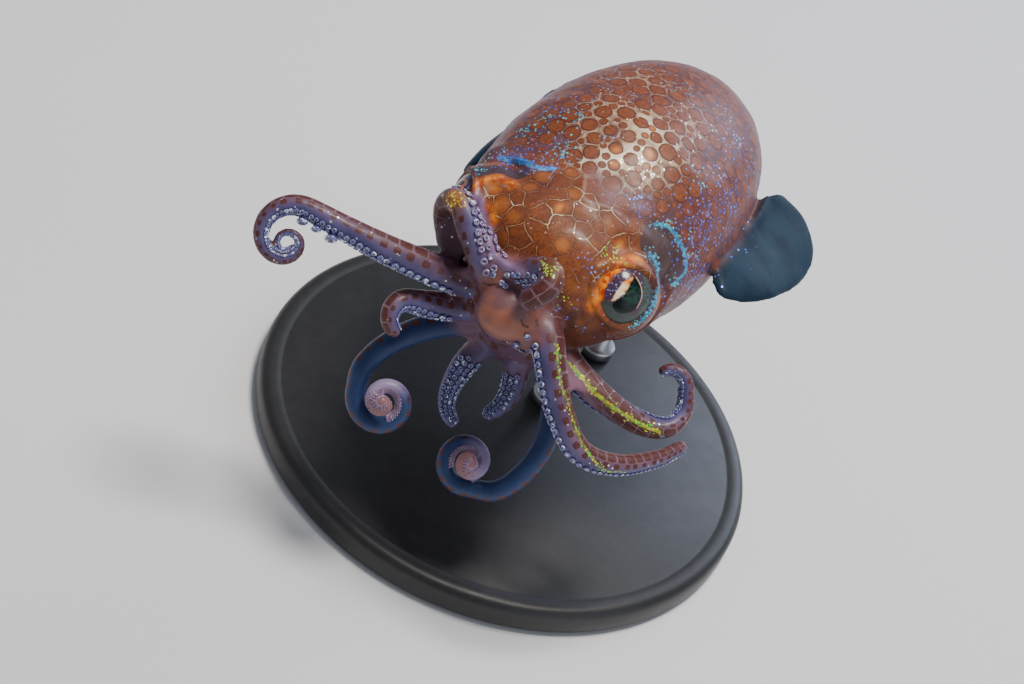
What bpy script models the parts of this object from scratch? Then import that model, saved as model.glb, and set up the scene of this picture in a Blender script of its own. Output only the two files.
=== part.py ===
"""A small bobtail squid as a life-size still model, held on a plain display stand.

The squid is level and faces -Y, its left side is +X. All sizes below are millimetres in the
squid's own frame, whose zero is the middle of the mantle. SQUID_AT lifts that frame onto the stand.
"""
import bpy
import bmesh
import numpy as np
from math import atan2, ceil, cos, pi, radians, sin, sqrt

MM = 0.001
GAP = 0.3                      # space left between neighbouring nodes
SQUID_AT = (0.0, 5.0, 30.0)    # mantle centre, measured from the middle of the base's underside
VIEWED_FROM = (0.198, -0.740, 0.643)   # the side that the coils are wound to face

# Mantle, an open-fronted dome
MANTLE_FRONT = -13.5
MANTLE_BACK = 16.6
MANTLE_HALF_WIDTH = (10.2, 11.1)
MANTLE_TOP = (7.0, 9.6)
MANTLE_UNDER = (8.2, 9.5)
# How far each side of the front edge is drawn back, at what height, and its half height. The
# head is turned to its right, so that the left side of the neck is bared and the right hidden.
MANTLE_NOTCHES = {1: (4.0, 3.9, 2.5), -1: (2.4, 1.4, 2.3)}

# Head with its two eye bulges
HEAD_AT = (0.0, -16.0, -0.2)
HEAD_RADII = (8.8, 5.8, 6.6)
EYE_AT = (6.5, -15.5, 1.0)
EYE_AXES = {1: (0.52, -0.62, 0.59), -1: (-0.80, -0.55, 0.15)}   # the way each eye looks
EYE_BULGE = 4.0
NECK_AT = (0.0, -13.6, 0.8)
NECK_RADII = (7.6, 3.2, 6.2)
EYEBALL = 3.15
EYE_OPENING = 2.7              # radius of the opening where it meets the bulge

# Smooth sides of the neck that show between the mantle's edge and the eye, as place and radii
COLLARS = {1: ((5.9, -11.0, 2.0), (3.1, 3.7, 3.4)), -1: ((-8.6, -11.7, 1.7), (1.4, 2.1, 2.5))}

# Mouth bulb and the ring that carries the limbs
BULB_AT = (0.8, -23.0, -0.6)
BULB_RADII = (2.6, 3.0, 2.6)
CROWN_AT = (0.3, -20.6, -1.6)
CROWN_RADII = (4.3, 2.5, 4.6)
CROWN_LOW_AT = (0.5, -18.6, -5.6)
CROWN_LOW_RADII = (3.7, 2.5, 3.1)

# Funnel under the neck
FUNNEL_FROM = (0.0, -10.5, -8.2)
FUNNEL_TO = (0.0, -16.6, -9.6)
FUNNEL_RADII = (3.0, 1.5)
FUNNEL_BORE = (0.9, 2.5)       # radius and depth of the opening at its tip

# Fins, as root line and free edge from front to back
FIN_ROOT = [(10.0, -3.6, 0.6), (10.4, 0.0, 0.7), (10.4, 3.6, 0.8), (9.8, 7.0, 1.0)]
FIN_EDGE = [(11.6, -6.4, 0.3), (13.2, -7.0, -0.2), (15.4, -4.6, -0.8), (16.8, 0.6, -1.6),
            (17.2, 5.2, -1.9), (16.2, 8.9, -1.6), (13.6, 10.6, -0.6), (10.8, 9.6, 0.6)]
FIN_EDGE_RIGHT = [(10.9, -5.8, -1.2), (12.0, -6.8, -3.6), (12.8, -4.6, -6.0), (12.8, 0.0, -7.6),
                  (12.0, 4.2, -7.9), (10.9, 7.0, -6.6), (10.0, 8.4, -4.2), (9.8, 8.2, -1.2)]
FIN_THICK = (1.1, 0.55)        # at the root and at the free edge

# Stand
BASE_RADIUS = 24.0
BASE_THICK = 3.0
BASE_EDGE = 0.8
ROD_RADIUS = 1.0
RODS = {"front": (1.5, 0.0), "rear": (1.5, 10.0)}

TUBE_SIDES = 10
RING_STEP = 0.95
SUCKER_SIDES = 6
SUCKER_SIZE = 0.38             # sucker radius as a share of the arm's radius
SUCKER_SMALLEST = 0.22
SUCKER_STEP = 1.65             # from one sucker to the next on the other row, in sucker radii
SUCKER_STEP_SMALLEST = 0.62

# Each limb: waypoints of its middle line from the head outwards, then an optional coil
# (degrees, first radius, last radius, side, rise, power), its radius at root and tip, the way the
# sucker side faces at the root and at the end, how far that side is turned to the side that the
# coils face (as a share), and where it is divided, measured along it.
LIMBS = {
    "arm_right_1": dict(
        way=[(-1.3, -20.6, -1.5), (-2.4, -22.6, 1.4), (-4.7, -22.6, 3.6), (-7.1, -21.6, 4.8),
             (-8.2, -21.1, 3.5), (-7.9, -21.2, 1.9), (-7.0, -21.8, 1.0)],
        coil=None, radius=(1.5, 0.85), faces=((0.56, -0.58, 0.4), (0.6, 0.3, -0.4)),
        shown=0.0, cuts=(5.2, 9.6), suckers=True),
    "arm_left_1": dict(
        way=[(-0.3, -20.3, -0.7), (0.4, -21.9, 2.0), (1.5, -22.7, 4.1), (2.8, -23.2, 5.1),
             (3.4, -24.2, 4.8), (3.0, -25.1, 3.8), (2.2, -25.4, 2.5)],
        coil=None, radius=(1.35, 0.95), faces=((-0.4, -0.9, -0.3), (0.05, 0.9, -0.25)),
        shown=0.0, cuts=(4.2,), suckers=True),
    "arm_right_2": dict(
        way=[(-3.0, -20.8, -2.1), (-5.8, -23.4, -1.1), (-9.6, -26.0, 0.0), (-13.3, -27.8, 0.9),
             (-16.3, -28.8, 1.4)],
        coil=(330, 3.0, 0.8, 1, 0.0, 1.0), radius=(1.5, 0.4), faces=((0.0, -0.2, -1.0), None),
        shown=0.25, cuts=(4.6, 11.6, 18.0), suckers=True),
    "arm_right_3": dict(
        way=[(-2.6, -20.3, -4.6), (-4.9, -23.0, -4.6), (-6.8, -25.4, -3.9)],
        coil=(190, 1.7, 1.0, 1, 0.0, 1.0), radius=(1.45, 0.6), faces=((-0.2, -0.5, -1.0), None),
        shown=0.25, cuts=(4.6,), suckers=True),
    "tentacle_right": dict(
        way=[(-2.1, -19.3, -6.8), (-4.5, -21.8, -7.4), (-6.7, -24.6, -9.1), (-7.6, -27.3, -11.1),
             (-7.1, -28.4, -12.7)],
        coil=(600, 2.5, 0.5, 1, 2.4, 1.4), radius=(1.3, 0.5), faces=((0.3, 0.0, -1.0), None),
        shown=0.0, cuts=(4.4, 12.8), suckers=False),
    "arm_right_4": dict(
        way=[(-0.5, -19.0, -7.7), (-1.4, -20.4, -9.8), (-1.5, -21.9, -12.3), (-0.8, -22.9, -13.9),
             (0.7, -23.3, -14.8)],
        coil=None, radius=(1.3, 0.6), faces=((0.5, -1.0, 0.4), (0.5, -0.8, 0.6)),
        shown=0.0, cuts=(3.4,), suckers=True),
    "arm_left_4": dict(
        way=[(1.2, -18.4, -7.6), (2.6, -18.9, -9.9), (3.0, -20.4, -12.0), (2.2, -21.6, -13.6)],
        coil=None, radius=(1.3, 0.6), faces=((-0.5, -1.0, 0.4), (-0.4, -0.8, 0.6)),
        shown=0.0, cuts=(3.4,), suckers=True),
    "tentacle_left": dict(
        way=[(2.6, -17.6, -7.0), (5.0, -17.1, -9.2), (7.0, -18.8, -12.1), (7.6, -21.2, -15.1),
             (6.6, -24.0, -17.4), (4.3, -25.5, -17.8)],
        coil=(600, 2.2, 0.5, -1, 2.2, 1.3), radius=(1.3, 0.5), faces=((-0.8, -0.3, 0.0), None),
        shown=0.0, cuts=(4.6, 12.4), suckers=False),
    "arm_left_2": dict(
        way=[(1.3, -20.1, -1.0), (4.1, -22.1, -1.1), (6.5, -23.9, -3.0), (8.7, -24.7, -5.4),
             (11.5, -24.7, -7.8), (14.2, -22.7, -8.8), (16.5, -19.2, -8.9), (17.8, -15.7, -8.6)],
        coil=None, radius=(1.5, 0.6), faces=((-0.6, -0.4, -0.6), (0.2, -0.2, -1.0)),
        shown=0.15, cuts=(5.4, 12.8, 19.2), suckers=True),
    "arm_left_3": dict(
        way=[(2.9, -18.2, -4.0), (6.1, -19.3, -5.1), (10.1, -19.5, -6.1), (14.0, -18.5, -7.0),
             (16.0, -17.2, -6.8), (16.3, -15.5, -5.8), (15.4, -14.5, -4.3)],
        coil=(150, 1.6, 1.0, 1, 0.0, 1.0), radius=(1.45, 0.5), faces=((-0.2, -0.6, -0.8), None),
        shown=0.25, cuts=(5.0, 12.2), suckers=True),
}
LENGTH_NAMES = {1: ("outer",), 2: ("mid", "tip"), 3: ("inner", "mid", "tip")}

COLOURS = {
    "mantle": (0.62, 0.40, 0.22), "head": (0.66, 0.42, 0.22), "arms": (0.52, 0.45, 0.52),
    "tentacles": (0.42, 0.46, 0.62), "fins": (0.50, 0.60, 0.68), "eyes": (0.10, 0.16, 0.12),
    "bulb": (0.72, 0.50, 0.38), "collar": (0.50, 0.42, 0.40), "funnel": (0.66, 0.55, 0.50),
    "base": (0.03, 0.03, 0.035), "rods": (0.60, 0.60, 0.62),
}


def unit(v):
    v = np.asarray(v, float)
    return v / np.linalg.norm(v)


def material(key):
    name = "look_" + key
    found = bpy.data.materials.get(name)
    if found:
        return found
    made = bpy.data.materials.new(name)
    made.use_nodes = True
    shader = made.node_tree.nodes["Principled BSDF"]
    shader.inputs["Base Color"].default_value = (*COLOURS[key], 1.0)
    shader.inputs["Roughness"].default_value = 0.35
    if key == "rods":
        shader.inputs["Metallic"].default_value = 1.0
    return made


def make_object(name, points, faces, key, at=SQUID_AT):
    """A closed mesh object from points in millimetres."""
    mesh = bpy.data.meshes.new(name)
    placed = (np.asarray(points, float) + np.asarray(at)) * MM
    mesh.from_pydata([tuple(p) for p in placed], [], faces)
    mesh.materials.append(material(key))
    made = bpy.data.objects.new(name, mesh)
    bpy.context.scene.collection.objects.link(made)
    work = bmesh.new()
    work.from_mesh(mesh)
    bmesh.ops.triangulate(work, faces=work.faces[:], quad_method="SHORT_EDGE")
    bmesh.ops.recalc_face_normals(work, faces=work.faces[:])
    work.to_mesh(mesh)
    work.free()
    return made


def loft(rings, cap_start=None, cap_end=None):
    """Points and faces of a closed surface through rings of equal count.

    A cap is a point to close on, or None for a flat face across the ring.
    """
    count = len(rings[0])
    points = [tuple(p) for ring in rings for p in ring]
    faces = []
    for i in range(len(rings) - 1):
        for j in range(count):
            k = (j + 1) % count
            faces.append((i * count + j, i * count + k, (i + 1) * count + k, (i + 1) * count + j))
    last = (len(rings) - 1) * count
    if cap_start is None:
        faces.append(tuple(reversed(range(count))))
    else:
        points.append(tuple(cap_start))
        tip = len(points) - 1
        faces.extend((tip, (j + 1) % count, j) for j in range(count))
    if cap_end is None:
        faces.append(tuple(range(last, last + count)))
    else:
        points.append(tuple(cap_end))
        tip = len(points) - 1
        faces.extend((last + j, last + (j + 1) % count, tip) for j in range(count))
    return points, faces


def ellipsoid(centre, radii, around=24, along=14):
    """Points and faces of an ellipsoid whose poles lie on its z axis."""
    rings = []
    for i in range(1, along):
        lat = -pi / 2 + pi * i / along
        turns = [2 * pi * j / around for j in range(around)]
        rings.append([(centre[0] + radii[0] * cos(lat) * cos(a),
                       centre[1] + radii[1] * cos(lat) * sin(a),
                       centre[2] + radii[2] * sin(lat)) for a in turns])
    bottom = (centre[0], centre[1], centre[2] - radii[2])
    top = (centre[0], centre[1], centre[2] + radii[2])
    return loft(rings, bottom, top)


def frustum(start, end, r_start, r_end, around=20):
    """Points and faces of a round tapered rod."""
    start = np.asarray(start, float)
    end = np.asarray(end, float)
    axis = unit(end - start)
    side = unit(np.cross(axis, (0.31, 0.87, 0.38)))
    other = np.cross(axis, side)
    rings = []
    for middle, r in ((start, r_start), (end, r_end)):
        turns = [2 * pi * j / around for j in range(around)]
        rings.append([middle + r * (cos(a) * side + sin(a) * other) for a in turns])
    return loft(rings)


def apply_boolean(target, operation, other=None, group=None):
    step = target.modifiers.new("cut", "BOOLEAN")
    step.operation = operation
    step.solver = "MANIFOLD"
    if group is None:
        step.object = other
    else:
        step.operand_type = "COLLECTION"
        step.collection = group
    graph = bpy.context.evaluated_depsgraph_get()
    result = bpy.data.meshes.new_from_object(target.evaluated_get(graph))
    target.modifiers.clear()
    old = target.data
    target.data = result
    result.name = target.name
    bpy.data.meshes.remove(old)


def remove(made):
    mesh = made.data
    bpy.data.objects.remove(made)
    bpy.data.meshes.remove(mesh)


def join_all(target, others):
    """One union of the target with every other object, which are then removed."""
    group = bpy.data.collections.new("to_join")
    for other in others:
        group.objects.link(other)
    apply_boolean(target, "UNION", group=group)
    for other in others:
        remove(other)
    bpy.data.collections.remove(group)
    keep_largest(target)


def carve(target, cutters):
    for cutter in cutters:
        apply_boolean(target, "DIFFERENCE", other=cutter)
        remove(cutter)
    keep_largest(target)


def keep_largest(target):
    """Drops every loose closed surface but the largest, and leaves triangles."""
    work = bmesh.new()
    work.from_mesh(target.data)
    bmesh.ops.triangulate(work, faces=work.faces[:])
    unseen = set(work.faces)
    parts = []
    while unseen:
        first = unseen.pop()
        part = [first]
        stack = [first]
        while stack:
            face = stack.pop()
            for edge in face.edges:
                for near in edge.link_faces:
                    if near in unseen:
                        unseen.discard(near)
                        part.append(near)
                        stack.append(near)
        parts.append(part)
    parts.sort(key=lambda part: sum(f.calc_area() for f in part))
    for part in parts[:-1]:
        bmesh.ops.delete(work, geom=part, context="FACES")
    work.to_mesh(target.data)
    work.free()


def mantle_size(y):
    """Half width, height above and depth below the mantle's middle line."""
    t = (y - MANTLE_FRONT) / (MANTLE_BACK - MANTLE_FRONT)
    t = min(max(t, 0.0), 1.0)
    dome = sqrt(max(0.0, 1.0 - max(0.0, (t - 0.2) / 0.8) ** 2.6))
    grow = min(1.0, t / 0.3)
    grow = grow * grow * (3 - 2 * grow)
    sizes = []
    for first, full in (MANTLE_HALF_WIDTH, MANTLE_TOP, MANTLE_UNDER):
        sizes.append((first + (full - first) * grow) * dome)
    return sizes


def mantle_form(grow=0.0, around=30, along=16):
    rings = []
    for i in range(along):
        t = 0.35 * i / along + 0.65 * sin(pi / 2 * i / along)
        ring = []
        for j in range(around):
            a = 2 * pi * j / around
            z_front = MANTLE_TOP[0] * sin(a) if sin(a) > 0 else MANTLE_UNDER[0] * sin(a)
            depth, height, spread = MANTLE_NOTCHES[1 if cos(a) > 0 else -1]
            off = (z_front - height) / spread
            front = MANTLE_FRONT - grow
            front += depth * np.exp(-off * off) * min(1.0, abs(cos(a)) / 0.5)
            y = front + (MANTLE_BACK + grow - front) * t
            y_in = MANTLE_FRONT + (y - MANTLE_FRONT) * (MANTLE_BACK - MANTLE_FRONT) / (
                MANTLE_BACK + grow - MANTLE_FRONT)
            half, top, under = mantle_size(y_in)
            high = top if sin(a) > 0 else under
            ring.append(((half + grow) * cos(a), y, (high + grow) * sin(a)))
        rings.append(ring)
    return loft(rings, (0.0, MANTLE_FRONT - grow + 2.0 * (grow == 0), 0.0),
                (0.0, MANTLE_BACK + grow, 0.0))


def mantle_cutter():
    return make_object("cutter", *mantle_form(GAP), "mantle")


def head_solid(name, grow=0.0, finest=24):
    """Head, neck and eye bulges as one solid, or a coarser and larger copy to cut with."""
    radii = [r + grow for r in HEAD_RADII]
    made = make_object(name, *ellipsoid(HEAD_AT, radii, finest, finest // 2), "head")
    neck = [r + grow for r in NECK_RADII]
    small = finest - 4
    bulges = [make_object("neck", *ellipsoid(NECK_AT, neck, small, small // 2), "head")]
    for side in (1, -1):
        middle = (side * EYE_AT[0], EYE_AT[1], EYE_AT[2])
        r = EYE_BULGE + grow
        bulges.append(make_object("bulge", *ellipsoid(middle, (r, r, r), small, small // 2), "head"))
    join_all(made, bulges)
    return made


def head_cutter():
    return head_solid("cutter", GAP + 0.1, 18)


def eye_opening(side):
    """The socket around the eyeball and the cone that opens it."""
    middle = np.array((side * EYE_AT[0], EYE_AT[1], EYE_AT[2]))
    axis = unit(EYE_AXES[side])
    r = EYEBALL + GAP
    socket = make_object("socket", *ellipsoid(middle, (r, r, r), 18, 10), "head")
    slope = EYE_OPENING / sqrt(EYE_BULGE**2 - EYE_OPENING**2)
    cone = make_object("cone", *frustum(middle + axis * 1.2, middle + axis * 6.0,
                                        1.2 * slope, 6.0 * slope, 18), "head")
    join_all(socket, [cone])
    return socket


def collar_form(side, grow=0.0):
    middle, radii = COLLARS[side]
    return ellipsoid(middle, [r + grow for r in radii], 16, 10)


def smooth_line(way, step=0.2):
    """A smooth line through the waypoints, its slope at each taken from its neighbours."""
    way = np.asarray(way, float)
    hops = np.linalg.norm(np.diff(way, axis=0), axis=1)
    at = np.concatenate(([0.0], np.cumsum(hops)))
    slope = np.zeros_like(way)
    slope[1:-1] = (way[2:] - way[:-2]) / (at[2:] - at[:-2])[:, None]
    slope[0] = (way[1] - way[0]) / hops[0]
    slope[-1] = (way[-1] - way[-2]) / hops[-1]
    line = []
    for i, hop in enumerate(hops):
        count = max(2, ceil(hop / step))
        for j in range(count):
            t = j / count
            line.append((2 * t**3 - 3 * t**2 + 1) * way[i] + (t**3 - 2 * t**2 + t) * hop * slope[i]
                        + (3 * t**2 - 2 * t**3) * way[i + 1] + (t**3 - t**2) * hop * slope[i + 1])
    line.append(way[-1])
    return line


def limb_line(limb):
    """The limb's middle line with, at each point, the way its sucker side faces.

    The direction is carried along the line without twist, and the turn that is missing at the
    end of the waypoints is then shared out over their length.
    """
    line = smooth_line(limb["way"])
    heading = unit(line[-1] - line[-2])
    first, last = limb["faces"]
    if limb["coil"]:
        degrees, r_first, r_last, side, rise, power = limb["coil"]
        last = unit(np.cross(VIEWED_FROM, heading) * side)
    inside = unit(np.asarray(last, float) - (np.asarray(last, float) @ heading) * heading)
    carried = []
    facing = np.asarray(first, float)
    for i in range(len(line)):
        near = min(i, len(line) - 2)
        ahead = unit(line[near + 1] - line[near])
        facing = unit(facing - (facing @ ahead) * ahead)
        carried.append((ahead, facing))
    missing = atan2(np.cross(facing, inside) @ heading, facing @ inside)
    faces = []
    for i, (ahead, facing) in enumerate(carried):
        t = i / (len(line) - 1)
        turn = missing * t * t * (3 - 2 * t)
        faces.append(cos(turn) * facing + sin(turn) * np.cross(ahead, facing))
    if limb["coil"]:
        lift = np.cross(heading, inside)
        lift = lift * np.sign(lift @ np.asarray(VIEWED_FROM))
        steps = ceil(degrees / 10)
        turn = radians(degrees) / steps
        place = line[-1]
        for i in range(steps):
            t = (i + 0.5) / steps
            r = r_last + (r_first - r_last) * (1 - t) ** power
            ahead = cos(turn) * heading + sin(turn) * inside
            inside = cos(turn) * inside - sin(turn) * heading
            place = place + r * turn * unit(heading + ahead) + lift * rise / steps * 6 * t * (1 - t)
            heading = ahead
            line.append(place)
            faces.append(inside)
    return np.array(line), np.array(faces)


class Limb:
    """Place, direction and thickness at any distance along a limb."""

    def __init__(self, name):
        self.limb = LIMBS[name]
        line, faces = limb_line(self.limb)
        hops = np.linalg.norm(np.diff(line, axis=0), axis=1)
        self.at = np.concatenate(([0.0], np.cumsum(hops)))
        self.line = line
        self.faces = faces
        self.length = self.at[-1]

    def place(self, s):
        return np.array([np.interp(s, self.at, self.line[:, k]) for k in range(3)])

    def frame(self, s):
        """Heading, sucker direction and sideways direction."""
        near = min(max(s, 0.2), self.length - 0.2)
        heading = unit(self.place(near + 0.2) - self.place(near - 0.2))
        facing = np.array([np.interp(s, self.at, self.faces[:, k]) for k in range(3)])
        facing = unit(facing - (facing @ heading) * heading)
        shown = np.asarray(VIEWED_FROM) - (np.asarray(VIEWED_FROM) @ heading) * heading
        facing = unit(facing + self.limb["shown"] * shown)
        return heading, facing, np.cross(heading, facing)

    def radius(self, s):
        root, tip = self.limb["radius"]
        return root + (tip - root) * (max(s, 0.0) / self.length) ** 1.3

    def ring(self, s, shrink=1.0, sides=TUBE_SIDES):
        """A ring of points, slightly flat on the sucker side."""
        heading, facing, sideways = self.frame(s)
        middle = self.place(s)
        ring = []
        for j in range(sides):
            a = 2 * pi * (j + 0.5) / sides
            r = self.radius(s) * shrink * (1.0 - 0.14 * max(0.0, cos(a)) ** 2)
            ring.append(middle + r * (cos(a) * facing + sin(a) * sideways))
        return ring

    def tube(self, start, end, is_tip, round_start=False):
        """Points and faces of the stretch between two distances."""
        blunt = self.radius(end) * 0.9 if is_tip else 0.0
        stations = np.linspace(start, end - blunt, max(2, ceil((end - blunt - start) / RING_STEP) + 1))
        rings = [self.ring(s) for s in stations]
        if round_start:
            rings[0] = self.ring(start, 0.7)
        if not is_tip:
            return loft(rings)
        for part in (0.55, 0.88):
            rings.append(self.ring(end - blunt + blunt * part, sqrt(1 - part * part)))
        return loft(rings, None, self.place(end))

    def sucker(self, s, side):
        """Points and faces of one sucker, a short cup standing on the arm's flat side."""
        heading, facing, sideways = self.frame(s)
        r_arm = self.radius(s)
        r = self.sucker_radius(s)
        out = unit(facing + side * 0.62 * sideways)
        foot = self.place(s) + out * r_arm * 0.86
        across = np.cross(out, heading)
        rings = []
        for height, share in ((-0.8, 0.8), (0.55, 1.0), (0.95, 0.68)):
            middle = foot + out * r * height
            turns = [2 * pi * j / SUCKER_SIDES for j in range(SUCKER_SIDES)]
            rings.append([middle + r * share * (cos(a) * heading + sin(a) * across) for a in turns])
        return loft(rings, None, foot + out * r * 0.5)

    def sucker_radius(self, s):
        return max(SUCKER_SMALLEST, self.radius(s) * SUCKER_SIZE)

    def sucker_places(self, start, end):
        """Distances and sides of the two staggered rows between two distances."""
        places = []
        s = start + self.sucker_radius(start) + 0.1
        side = 1
        while s < end - self.sucker_radius(s) - 0.1:
            places.append((s, side))
            s += max(SUCKER_STEP_SMALLEST, self.sucker_radius(s) * SUCKER_STEP)
            side = -side
        return places


def limb_nodes(name):
    limb = Limb(name)
    key = "tentacles" if name.startswith("tentacle") else "arms"
    cuts = list(limb.limb["cuts"]) + [limb.length]
    names = LENGTH_NAMES[len(cuts) - 1]
    for i, label in enumerate(names):
        is_tip = i == len(names) - 1
        start = cuts[i] + GAP / 2
        end = cuts[i + 1] - (0.0 if is_tip else GAP / 2)
        made = make_object(name + "_" + label, *limb.tube(start, end, is_tip), key)
        if limb.limb["suckers"]:
            last = end - (limb.radius(end) * 0.6 if is_tip else 0.0)
            cups = [make_object("cup", *limb.sucker(s, side), key)
                    for s, side in limb.sucker_places(start, last)]
            join_all(made, cups)


def build_body():
    for side, word in ((1, "left"), (-1, "right")):
        middle = (side * EYE_AT[0], EYE_AT[1], EYE_AT[2])
        make_object("eye_" + word, *ellipsoid(middle, (EYEBALL,) * 3, 16, 9), "eyes")
    head = head_solid("head")
    carve(head, [eye_opening(1), eye_opening(-1)])
    mantle = make_object("mantle", *mantle_form(), "mantle")
    cutters = [head_cutter()]
    for side, word in ((1, "left"), (-1, "right")):
        collar = make_object("collar_" + word, *collar_form(side), "collar")
        carve(collar, [head_cutter()])
        cutters.append(make_object("cutter", *collar_form(side, GAP), "collar"))
    carve(mantle, cutters)
    bulb = make_object("mouth_bulb", *ellipsoid(BULB_AT, BULB_RADII, 18, 10), "bulb")
    carve(bulb, [head_cutter()])
    funnel = make_object("funnel", *frustum(FUNNEL_FROM, FUNNEL_TO, *FUNNEL_RADII, 18), "funnel")
    tip = np.asarray(FUNNEL_TO)
    way = unit(tip - np.asarray(FUNNEL_FROM))
    bore = make_object("bore", *frustum(tip - way * FUNNEL_BORE[1], tip + way, FUNNEL_BORE[0],
                                        FUNNEL_BORE[0], 14), "funnel")
    carve(funnel, [mantle_cutter(), head_cutter(), bore])


def build_limbs():
    crown = make_object("crown", *ellipsoid(CROWN_AT, CROWN_RADII, 16, 8), "arms")
    stubs = [make_object("low", *ellipsoid(CROWN_LOW_AT, CROWN_LOW_RADII, 14, 8), "arms")]
    for name in LIMBS:
        limb = Limb(name)
        end = limb.limb["cuts"][0] - GAP / 2
        stubs.append(make_object("stub", *limb.tube(0.0, end, False, True), "arms"))
    join_all(crown, stubs)
    bulb = make_object("cutter", *ellipsoid(BULB_AT, [r + GAP + 0.1 for r in BULB_RADII], 14, 8), "bulb")
    carve(crown, [bulb, head_cutter()])
    for name in LIMBS:
        limb_nodes(name)


def fin_form(side, edge_way, across=6, along=12):
    """A thin leaf between its root line and its free edge, split alike on both faces."""
    root = np.array(smooth_line(FIN_ROOT))
    edge = np.array(smooth_line(edge_way))
    middle = (edge[len(edge) // 2] - root[len(root) // 2]) * (1.0, 0.0, 1.0)
    up = unit((-middle[2], 0.0, middle[0]))
    faces_points = ([], [])
    for i in range(along + 1):
        v = i / along
        a = root[int(round(v * (len(root) - 1)))]
        b = edge[int(round(v * (len(edge) - 1)))]
        for j in range(across + 1):
            u = j / across
            p = (1 - u) * a + u * b
            ripple = 0.45 * u * sin(2.2 * pi * v)
            p = p + up * (ripple + 0.5 * sin(pi * u))
            thick = FIN_THICK[0] + (FIN_THICK[1] - FIN_THICK[0]) * u
            for half, sign in enumerate((1, -1)):
                q = p + sign * up * thick / 2
                faces_points[half].append((side * q[0], q[1], q[2]))
    row = across + 1
    count = len(faces_points[0])
    faces = []
    for i in range(along):
        for j in range(across):
            a, b = i * row + j, i * row + j + 1
            c, d = a + row, b + row
            faces += [(a, b, d), (a, d, c)]
            faces += [(count + a, count + d, count + b), (count + a, count + c, count + d)]
    rim = [j for j in range(row)]
    rim += [i * row + across for i in range(1, along + 1)]
    rim += [along * row + j for j in range(across - 1, -1, -1)]
    rim += [i * row for i in range(along - 1, 0, -1)]
    for k, a in enumerate(rim):
        b = rim[(k + 1) % len(rim)]
        faces += [(a, count + b, b), (a, count + a, count + b)]
    return faces_points[0] + faces_points[1], faces


def build_fins():
    for side, word, edge in ((1, "left", FIN_EDGE), (-1, "right", FIN_EDGE_RIGHT)):
        fin = make_object("fin_" + word, *fin_form(side, edge), "fins")
        carve(fin, [mantle_cutter()])


def build_stand():
    outline = [(0.0, BASE_RADIUS - BASE_EDGE), (BASE_EDGE, BASE_RADIUS),
               (BASE_THICK - BASE_EDGE, BASE_RADIUS), (BASE_THICK, BASE_RADIUS - BASE_EDGE)]
    turns = [2 * pi * j / 48 for j in range(48)]
    rings = [[(r * cos(a), r * sin(a), z) for a in turns] for z, r in outline]
    make_object("stand_base", *loft(rings, (0, 0, 0), (0, 0, BASE_THICK)), "base", (0, 0, 0))
    for word, (x, y) in RODS.items():
        foot = (x, y, BASE_THICK + GAP - SQUID_AT[2])
        top = (x, y, -4.0)
        rod = make_object("stand_rod_" + word, *frustum(foot, top, ROD_RADIUS, ROD_RADIUS), "rods")
        carve(rod, [mantle_cutter()])


def main():
    for old in list(bpy.data.objects):
        bpy.data.objects.remove(old)
    build_body()
    build_limbs()
    build_fins()
    build_stand()


main()
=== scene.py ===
"""The looks of the bobtail squid model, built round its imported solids.

Sizes are millimetres in the squid's own frame, whose zero is the middle of the mantle, as in the
part's source. A place on the body that was read from the photograph is a pixel of its 1024 x 684
frame, sent along the camera's line of sight onto the body.
"""
import bpy
import numpy as np
from itertools import product
from math import atan2, ceil, cos, pi, radians, sin, sqrt, tan
from mathutils import Matrix, Vector
from mathutils.bvhtree import BVHTree
from mathutils.kdtree import KDTree
from mathutils.noise import noise


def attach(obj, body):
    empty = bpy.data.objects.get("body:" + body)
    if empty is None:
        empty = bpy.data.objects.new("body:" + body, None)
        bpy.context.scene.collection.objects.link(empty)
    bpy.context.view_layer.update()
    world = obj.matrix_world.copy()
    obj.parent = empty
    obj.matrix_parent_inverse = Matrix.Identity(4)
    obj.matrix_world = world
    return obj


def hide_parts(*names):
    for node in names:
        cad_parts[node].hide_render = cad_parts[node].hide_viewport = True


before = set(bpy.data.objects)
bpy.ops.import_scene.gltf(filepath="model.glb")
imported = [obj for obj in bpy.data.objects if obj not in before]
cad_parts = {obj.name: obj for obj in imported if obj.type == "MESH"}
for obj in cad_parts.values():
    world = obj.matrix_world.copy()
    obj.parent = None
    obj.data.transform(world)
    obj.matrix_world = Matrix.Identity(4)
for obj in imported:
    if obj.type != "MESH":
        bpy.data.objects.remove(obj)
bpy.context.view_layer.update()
dice = np.random.default_rng(7)

MM = 0.001
VOXEL = 0.2
SQUID_AT = np.array((0.0, 5.0, 30.0))
VIEWED_FROM = (0.198, -0.740, 0.643)

# Sizes of the body, as in the part's source
MANTLE_FRONT = -13.5
MANTLE_BACK = 16.6
MANTLE_HALF_WIDTH = (10.2, 11.1)
MANTLE_TOP = (7.0, 9.6)
MANTLE_UNDER = (8.2, 9.5)
MANTLE_NOTCHES = {1: (4.0, 3.9, 2.5), -1: (2.4, 1.4, 2.3)}
HEAD_AT = (0.0, -16.0, -0.2)
HEAD_RADII = (8.8, 5.8, 6.6)
EYE_AT = (6.5, -15.5, 1.0)
EYE_AXES = {1: (0.52, -0.62, 0.59), -1: (-0.80, -0.55, 0.15)}
EYE_BULGE = 4.0
EYEBALL = 3.4
NECK_AT = (0.0, -13.6, 0.8)
NECK_RADII = (7.6, 3.2, 6.2)
COLLARS = {1: ((5.9, -11.0, 2.0), (3.1, 3.7, 3.4)), -1: ((-8.6, -11.7, 1.7), (1.4, 2.1, 2.5))}
BULB_AT = (0.8, -23.0, -0.6)
BULB_RADII = (2.6, 3.0, 2.6)
CROWN_AT = (0.3, -20.6, -1.6)
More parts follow.
